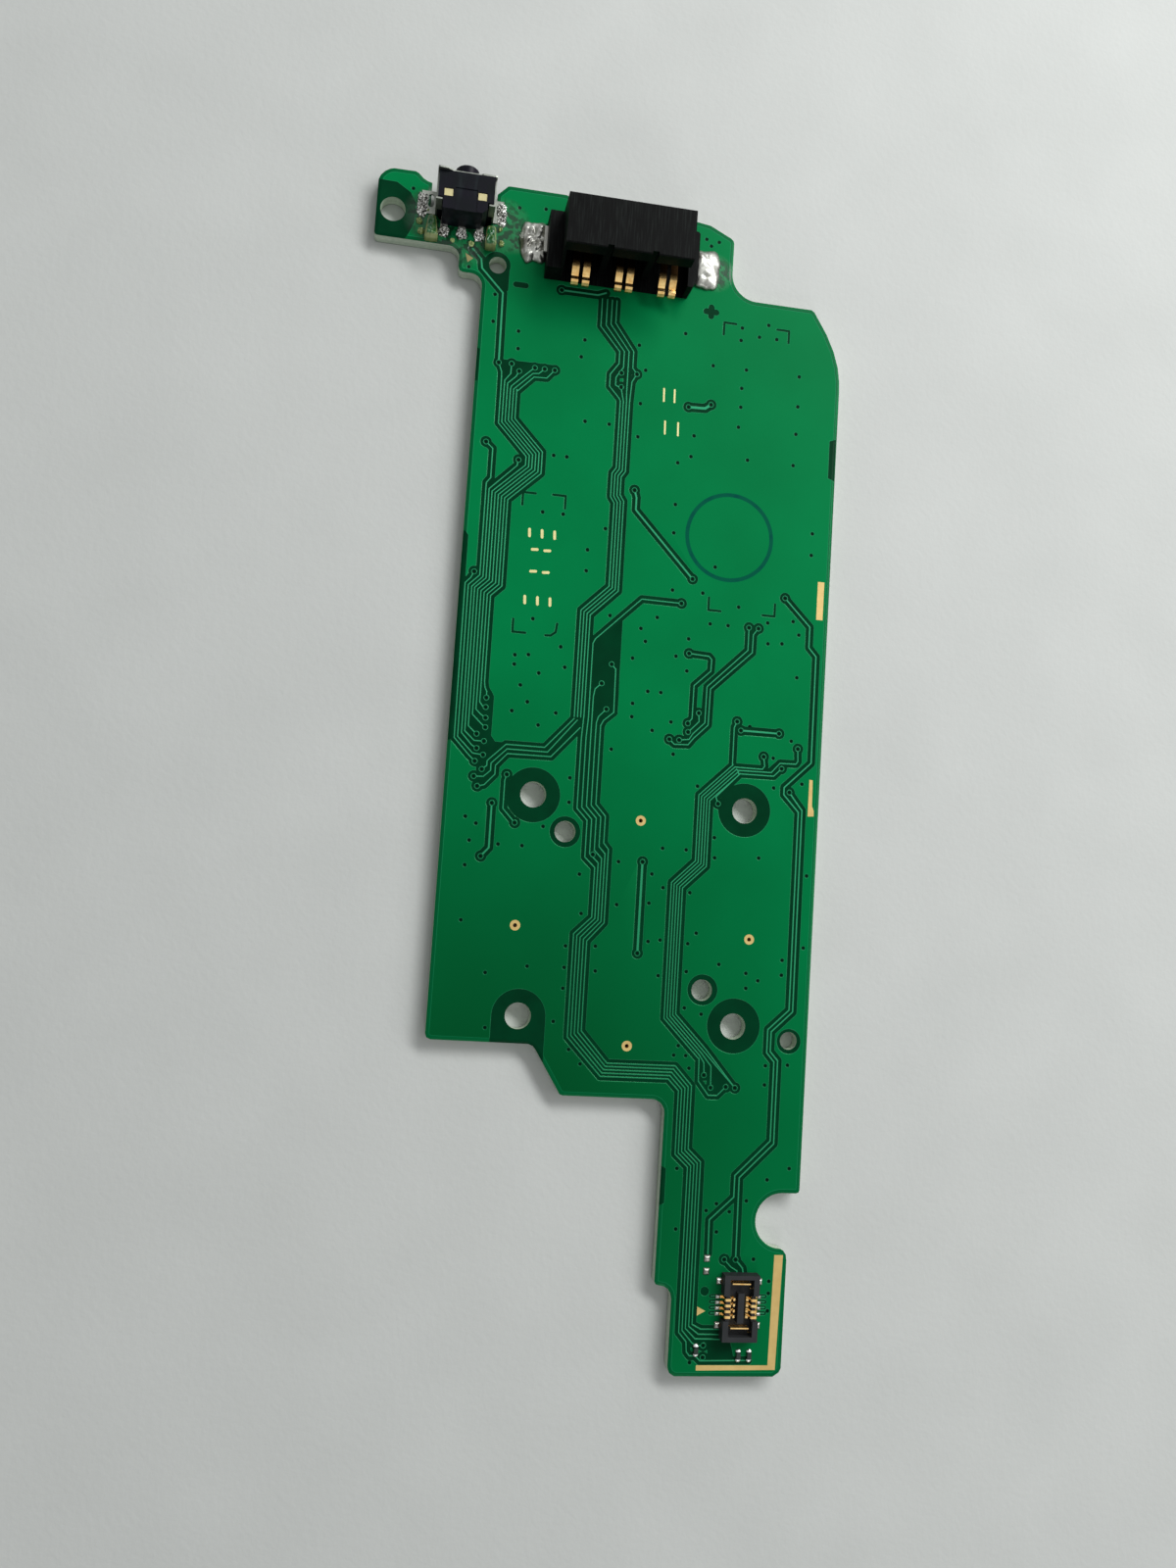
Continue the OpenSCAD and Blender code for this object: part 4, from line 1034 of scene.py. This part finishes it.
# %% Build a sheet
def closed_sheet(name, plan, z0, sign, material):
    """A closed solid between the flat plane z0 and the relief above or below it."""
    flat, tri, height, up = plan
    n = len(flat)
    base = np.column_stack([flat, np.full(n, z0)])
    top = np.column_stack([flat, z0 + sign * height])
    if sign < 0:
        tri = tri[:, ::-1]
    sides = dict.fromkeys(pair for f in tri
                          for pair in ((f[0], f[1]), (f[1], f[2]), (f[2], f[0])))
    rim = [(a, b) for a, b in sides if (b, a) not in sides]
    faces = [tuple(f) for f in tri] + [tuple(n + f[::-1]) for f in tri]
    faces += [(b, a, a + n, b + n) for a, b in rim]
    mesh = bpy.data.meshes.new(name)
    mesh.from_pydata(np.concatenate([top, base]) * MM, [], faces)
    mesh.materials.append(material)
    mesh.update()
    mesh.shade_smooth()
    up = up * np.array([1, 1, sign])
    normals = np.zeros((len(mesh.loops), 3))
    corner = np.array([l.vertex_index for l in mesh.loops])
    count = 3 * len(tri)
    normals[:count] = up[corner[:count]]
    normals[count:2 * count] = (0, 0, -sign)
    at = 2 * count
    for a, b in rim:
        d = flat[b] - flat[a]
        out = np.array([d[1], -d[0], 0]) * sign
        normals[at:at + 4] = out / np.linalg.norm(out)
        at += 4
    mesh.normals_split_custom_set(normals)
    made = bpy.data.objects.new(name, mesh)
    bpy.context.scene.collection.objects.link(made)
    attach(made, "board")
    print(name, "corners", len(mesh.vertices), "faces", len(mesh.polygons))


closed_sheet("lacquer_top", sheet_plan(outline, board_holes, top_side, areas, dimples), TOP, 1,
             lacquer_top)

# %% The underside's sheet
KEY_CLEAR, KEY_APART = 3.5, 0.2  # radius of the window round a key, and its distance to dimples
key_discs = []
for side in ("north", "east", "south", "west"):
    low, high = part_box("key_pad_" + side)
    key_discs.append(((low[0] + high[0]) / 2 / MM, (low[1] + high[1]) / 2 / MM, KEY_CLEAR))
under_outline, *under_holes = face_loops("pcb", UNDER)
clear = np.array([(x, y, x, y, r, 0) for x, y, r in key_discs])
under_side = np.concatenate([capsules([], signal_holes, bare_discs, []), clear])
free = [q for q in dimples if all(math.dist(q, d[:2]) > d[2] + KEY_APART for d in key_discs)]
closed_sheet("lacquer_under", sheet_plan(under_outline, under_holes, under_side, [],
                                         np.array(free)), UNDER, -1, lacquer_under)

# %% [markdown]
# ## Plated bars
# Bare plated bars lie in openings of the lacquer. They stay plain, a few strokes in rows. Each
# is a thin closed prism with round ends, a hair higher than the lacquer round it.

# %% Bars
BAR_PROUD = 0.008  # how far a bar stands above the lacquer, mm
BAR_ARC = 8  # pieces in the round end of a bar


def linked(name, verts, faces, material, smooth=False):
    """A new mesh piece on the board, from corners in mm."""
    mesh = bpy.data.meshes.new(name)
    mesh.from_pydata([Vector(v) * MM for v in verts], [], faces)
    mesh.materials.append(material)
    if smooth:
        mesh.shade_smooth()
    made = bpy.data.objects.new(name, mesh)
    bpy.context.scene.collection.objects.link(made)
    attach(made, "board")
    return made


def bars(name, strokes, half, material):
    """Closed prisms with round ends, each from (x0, y0) to (x1, y1)."""
    verts, faces = [], []
    for x0, y0, x1, y1 in strokes:
        base = math.atan2(y1 - y0, x1 - x0)
        loop = []
        for x, y, at in ((x1, y1, base - math.pi / 2), (x0, y0, base + math.pi / 2)):
            loop += [(x + half * math.cos(at + math.pi * k / BAR_ARC),
                      y + half * math.sin(at + math.pi * k / BAR_ARC))
                     for k in range(BAR_ARC + 1)]
        n, o = len(loop), len(verts)
        verts += [(x, y, TOP) for x, y in loop]
        verts += [(x, y, TOP + HIGH + BAR_PROUD) for x, y in loop]
        faces.append([o + i for i in reversed(range(n))])
        faces.append([o + n + i for i in range(n)])
        faces += [(o + i, o + (i + 1) % n, o + n + (i + 1) % n, o + n + i) for i in range(n)]
    return linked(name, verts, faces, material)


strokes = [(x, y, x + 0.03, y - 0.5) for x in (-9.65, -8.71, -7.77) for y in (27.65, 22.58)]
strokes += [(x, y, x + 0.38, y + 0.03) for x in (-9.35, -8.41) for y in (26.15, 24.5)]
bars("plated_bars", strokes, 0.105, bar_gold)
bars("plated_strokes", [(-0.15, 39.68, -0.12, 38.72), (0.68, 39.7, 0.71, 38.74),
                        (0.08, 37.15, 0.11, 36.18), (1.1, 37.15, 1.13, 36.18)], 0.07, bar_gold)
print("bars", len(strokes) + 4)

# %% [markdown]
# ## Solder and resin
# Hand soldering leaves bright lumps with creases, and a flux resin that sets in amber and green
# clots. Both are height fields over a rounded box: rings of corners that rise to a dome, with
# turbulence folded in. Sculpting would look as good but could not be repeated; the noise is
# seeded, so each run gives the same lump.

# %% Lumps
SUNK = 0.02  # how far a lump's foot reaches into the board, mm


def lump(name, box, height, material, seed, crumple=0.25, scale=0.35, square=3.0, dome=0.6,
         lean=(0.0, 0.0), taper=0.0, rings=16, spokes=72):
    """A closed lump over the box (x0, y0, x1, y1), its skin folded by turbulence."""
    x0, y0, x1, y1 = box
    cx, cy, hx, hy = (x0 + x1) / 2, (y0 + y1) / 2, (x1 - x0) / 2, (y1 - y0) / 2
    away = Vector((seed * 7.31, seed * 3.17, seed * 1.73))

    def corner(t, angle):
        c, s = math.cos(angle), math.sin(angle)
        e = (abs(c) ** square + abs(s) ** square) ** (-1 / square)
        u, v = t * e * c, t * e * s
        ragged = 1 + 0.35 * crumple * noise.noise(Vector((c, s, 0)) * 2.2 + away) * t
        u, v = u * ragged * (1 - taper * (v + 1) / 2), v * ragged
        x, y = cx + hx * u, cy + hy * v
        fold = noise.turbulence(Vector((x, y, 0)) / scale + away, 3, True)
        z = height * max(1 - t ** 4, 0) ** dome * (1 - crumple + 1.3 * crumple * fold)
        z *= (1 + lean[0] * u) * (1 + lean[1] * v)
        return x, y, TOP - SUNK + z

    verts = [corner(0, 0)]
    verts += [corner(k / rings, 2 * math.pi * j / spokes)
              for k in range(1, rings + 1) for j in range(spokes)]
    faces = [(0, 1 + j, 1 + (j + 1) % spokes) for j in range(spokes)]
    for k in range(rings - 1):
        a = 1 + k * spokes
        faces += [(a + j, a + spokes + j, a + spokes + (j + 1) % spokes, a + (j + 1) % spokes)
                  for j in range(spokes)]
    last = 1 + (rings - 1) * spokes
    faces.append([last + j for j in reversed(range(spokes))])
    made = linked(name, verts, faces, material, smooth=True)
    print(name, "corners", len(verts), "height mm", round(max(v[2] for v in verts) - TOP, 2))
    return made


# %% Solder of the battery socket's tabs
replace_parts(lump("solder_battery_left", (-12.0, 48.1, -9.86, 51.25), 0.72, solder_skin, 1,
                 0.42, 0.9, 4.0, lean=(0.25, 0.0), rings=22, spokes=96), "battery_solder_left")
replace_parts(lump("solder_battery_right", (1.46, 47.92, 3.66, 51.1), 0.72, solder_skin, 2,
                 0.28, 2.2, 4.0, lean=(-0.25, 0.0), rings=22, spokes=96), "battery_solder_right")
print("lumps stand for the battery socket's two plain joints")

# %% Solder of the switch
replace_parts(lump("solder_switch_left", (-19.78, 50.4, -18.96, 52.38), 0.42, solder_glints_and_flux, 3,
                 0.8, 0.16, rings=20, spokes=96), "switch_solder_left")
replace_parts(lump("solder_switch_right", (-13.8, 50.5, -13.05, 52.4), 0.4, solder_glints_and_flux, 4,
                 0.8, 0.16, rings=20, spokes=96), "switch_solder_right")
joints = []
for i, low in enumerate(("left", "centre", "right")):
    a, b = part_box("switch_terminal_" + low)
    mid = (a[0] + b[0]) / 2 / MM
    joints.append(lump("solder_rear_" + low, (mid - 0.42, 49.08, mid + 0.42, 50.0), 0.4,
                       solder_glints_and_flux, 5 + i, 0.8, 0.14, rings=16, spokes=64))
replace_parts(joints[0], "switch_solder_rear")
print("rear joints", len(joints))

# %% [markdown]
# ## Flux
# Flux that boiled out of the joints has set in clots: two pale wedges behind the switch, green
# where they lie flat, and a few burnt drops. They are the same lumps with a smoother skin.

# %% Set flux
resin, tree, shader = simple_finish("flux_resin", rgb(168, 176, 120), rgb(120, 134, 78), 0.1,
                                    0.01, tone_size=0.5, Roughness=0.22)
lies = ramp(tree, axis_of(tree, "Normal", "Z", "ShaderNodeNewGeometry"), 0.55, 0.9)
vein = placed(tree, streaks, Stretch=(3.0, 0.6, 1.0), Sharpness=3.0)
lay_over(tree, shader, lies, blend(tree, vein.outputs[0], rgb(4, 84, 36), rgb(96, 128, 60)))
for name, box, height, seed, taper in (
        ("resin_left", (-19.12, 48.6, -18.02, 50.5), 0.98, 11, 0.5),
        ("resin_right", (-14.6, 48.52, -13.68, 50.3), 0.92, 12, 0.25)):
    lump(name, box, height, resin, seed, 0.12, 0.5, 7.0, 0.16, lean=(0.0, -0.28), taper=taper,
         rings=24, spokes=72)
print("finish", resin.name)

# %% Burnt drops
amber = simple_finish("burnt_flux", rgb(186, 204, 132), rgb(84, 106, 50), 0.1, 0.01,
                      tone_size=0.2, contrast=3.0, Roughness=0.2)[0]
for i, (x, y, r, h) in enumerate(((-19.5, 50.05, 0.25, 0.42), (-19.33, 49.3, 0.28, 0.36),
                                  (-13.3, 49.2, 0.22, 0.4), (-13.45, 50.3, 0.16, 0.3),
                                  (-16.95, 48.95, 0.2, 0.14), (-15.55, 48.9, 0.24, 0.14),
                                  (-18.95, 51.0, 0.14, 0.25))):
    lump("flux_bit_%d" % i, (x - r, y - r, x + r, y + r), h, amber, 20 + i, 0.6, 0.2, 2.4,
         rings=8, spokes=32)

# %% [markdown]
# ## Floor and light
# A sheet of pale paper carries the board. A broad softbox to the upper right gives the bevels
# their bright lines, two weaker ones fill from the right and the front, and the world is a pale
# room that is brighter towards the upper right, so that metal has contrast.

# %% Floor
FLOOR_HALF, FLOOR_Z = 0.6, -0.045 * MM  # metres; the key pads rest on the paper
mesh = bpy.data.meshes.new("floor")
mesh.from_pydata([(x * FLOOR_HALF, y * FLOOR_HALF, FLOOR_Z)
                  for x, y in ((-1, -1), (1, -1), (1, 1), (-1, 1))], [], [(0, 1, 2, 3)])
floor = bpy.data.objects.new("floor", mesh)
bpy.context.scene.collection.objects.link(floor)
paper = simple_finish("paper", rgb(199, 202, 199), rgb(192, 195, 192), 0.5, 0.02,
                      tone_size=9.0, Roughness=0.85)[0]
mesh.materials.append(paper)
print("floor", 2 * FLOOR_HALF, "m square")


# %% Lamps
def softbox(name, at, target, wide, high, power):
    """A rectangular lamp at a place, in metres, that faces a target."""
    light = bpy.data.lights.new(name, "AREA")
    light.shape, light.size, light.size_y, light.energy = "RECTANGLE", wide, high, power
    made = bpy.data.objects.new(name, light)
    made.location = at
    made.rotation_mode = "QUATERNION"
    made.rotation_quaternion = (Vector(target) - Vector(at)).to_track_quat("-Z", "Y")
    bpy.context.scene.collection.objects.link(made)
    print("softbox", name, power, "W")


softbox("key", (0.15, 0.19, 0.20), (0.0, 0.0, 0.0), 0.26, 0.07, 0.84)
softbox("side", (0.26, 0.03, 0.14), (0.0, 0.0, 0.0), 0.20, 0.08, 0.15)
softbox("front", (0.03, -0.22, 0.16), (0.0, 0.03, 0.0), 0.06, 0.04, 0.07)

# %% World
BRIGHTEST = (0.45, 0.45, 0.77)  # direction of the room's bright side
DIMMEST, ROOM_LIGHT = 0.34, 0.42  # strengths: of the dark side, and of the room as a lamp
world = bpy.data.worlds.new("world")
bpy.context.scene.world = world
world.use_nodes = True
tree = world.node_tree
sky = tree.nodes["Background"]
place = node(tree, "ShaderNodeTexCoord")
towards = node(tree, "ShaderNodeVectorMath", [(0, place.outputs["Generated"])],
               operation="DOT_PRODUCT")
towards.inputs[1].default_value = BRIGHTEST
room = ramp(tree, towards.outputs["Value"], -0.6, 1.0, DIMMEST, 1.0)
path = node(tree, "ShaderNodeLightPath")  # seen or mirrored, the room is pale; it lights softly
seen = maths(tree, "ADD", path.outputs["Is Camera Ray"], path.outputs["Is Glossy Ray"])
seen = maths(tree, "ADD", seen, path.outputs["Is Transmission Ray"], clamp=True)
tree.links.new(maths(tree, "MULTIPLY", room, ramp(tree, seen, 0.0, 1.0, ROOM_LIGHT, 1.0)),
               sky.inputs["Strength"])
sky.inputs["Color"].default_value = (0.98, 0.99, 1.0, 1)
bpy.context.scene.view_settings.view_transform = "Standard"
print("room strengths", DIMMEST, "to", 1.0)

# %% [markdown]
# ## The end
# The view layer is brought up to date.

# %% Update
bpy.context.view_layer.update()
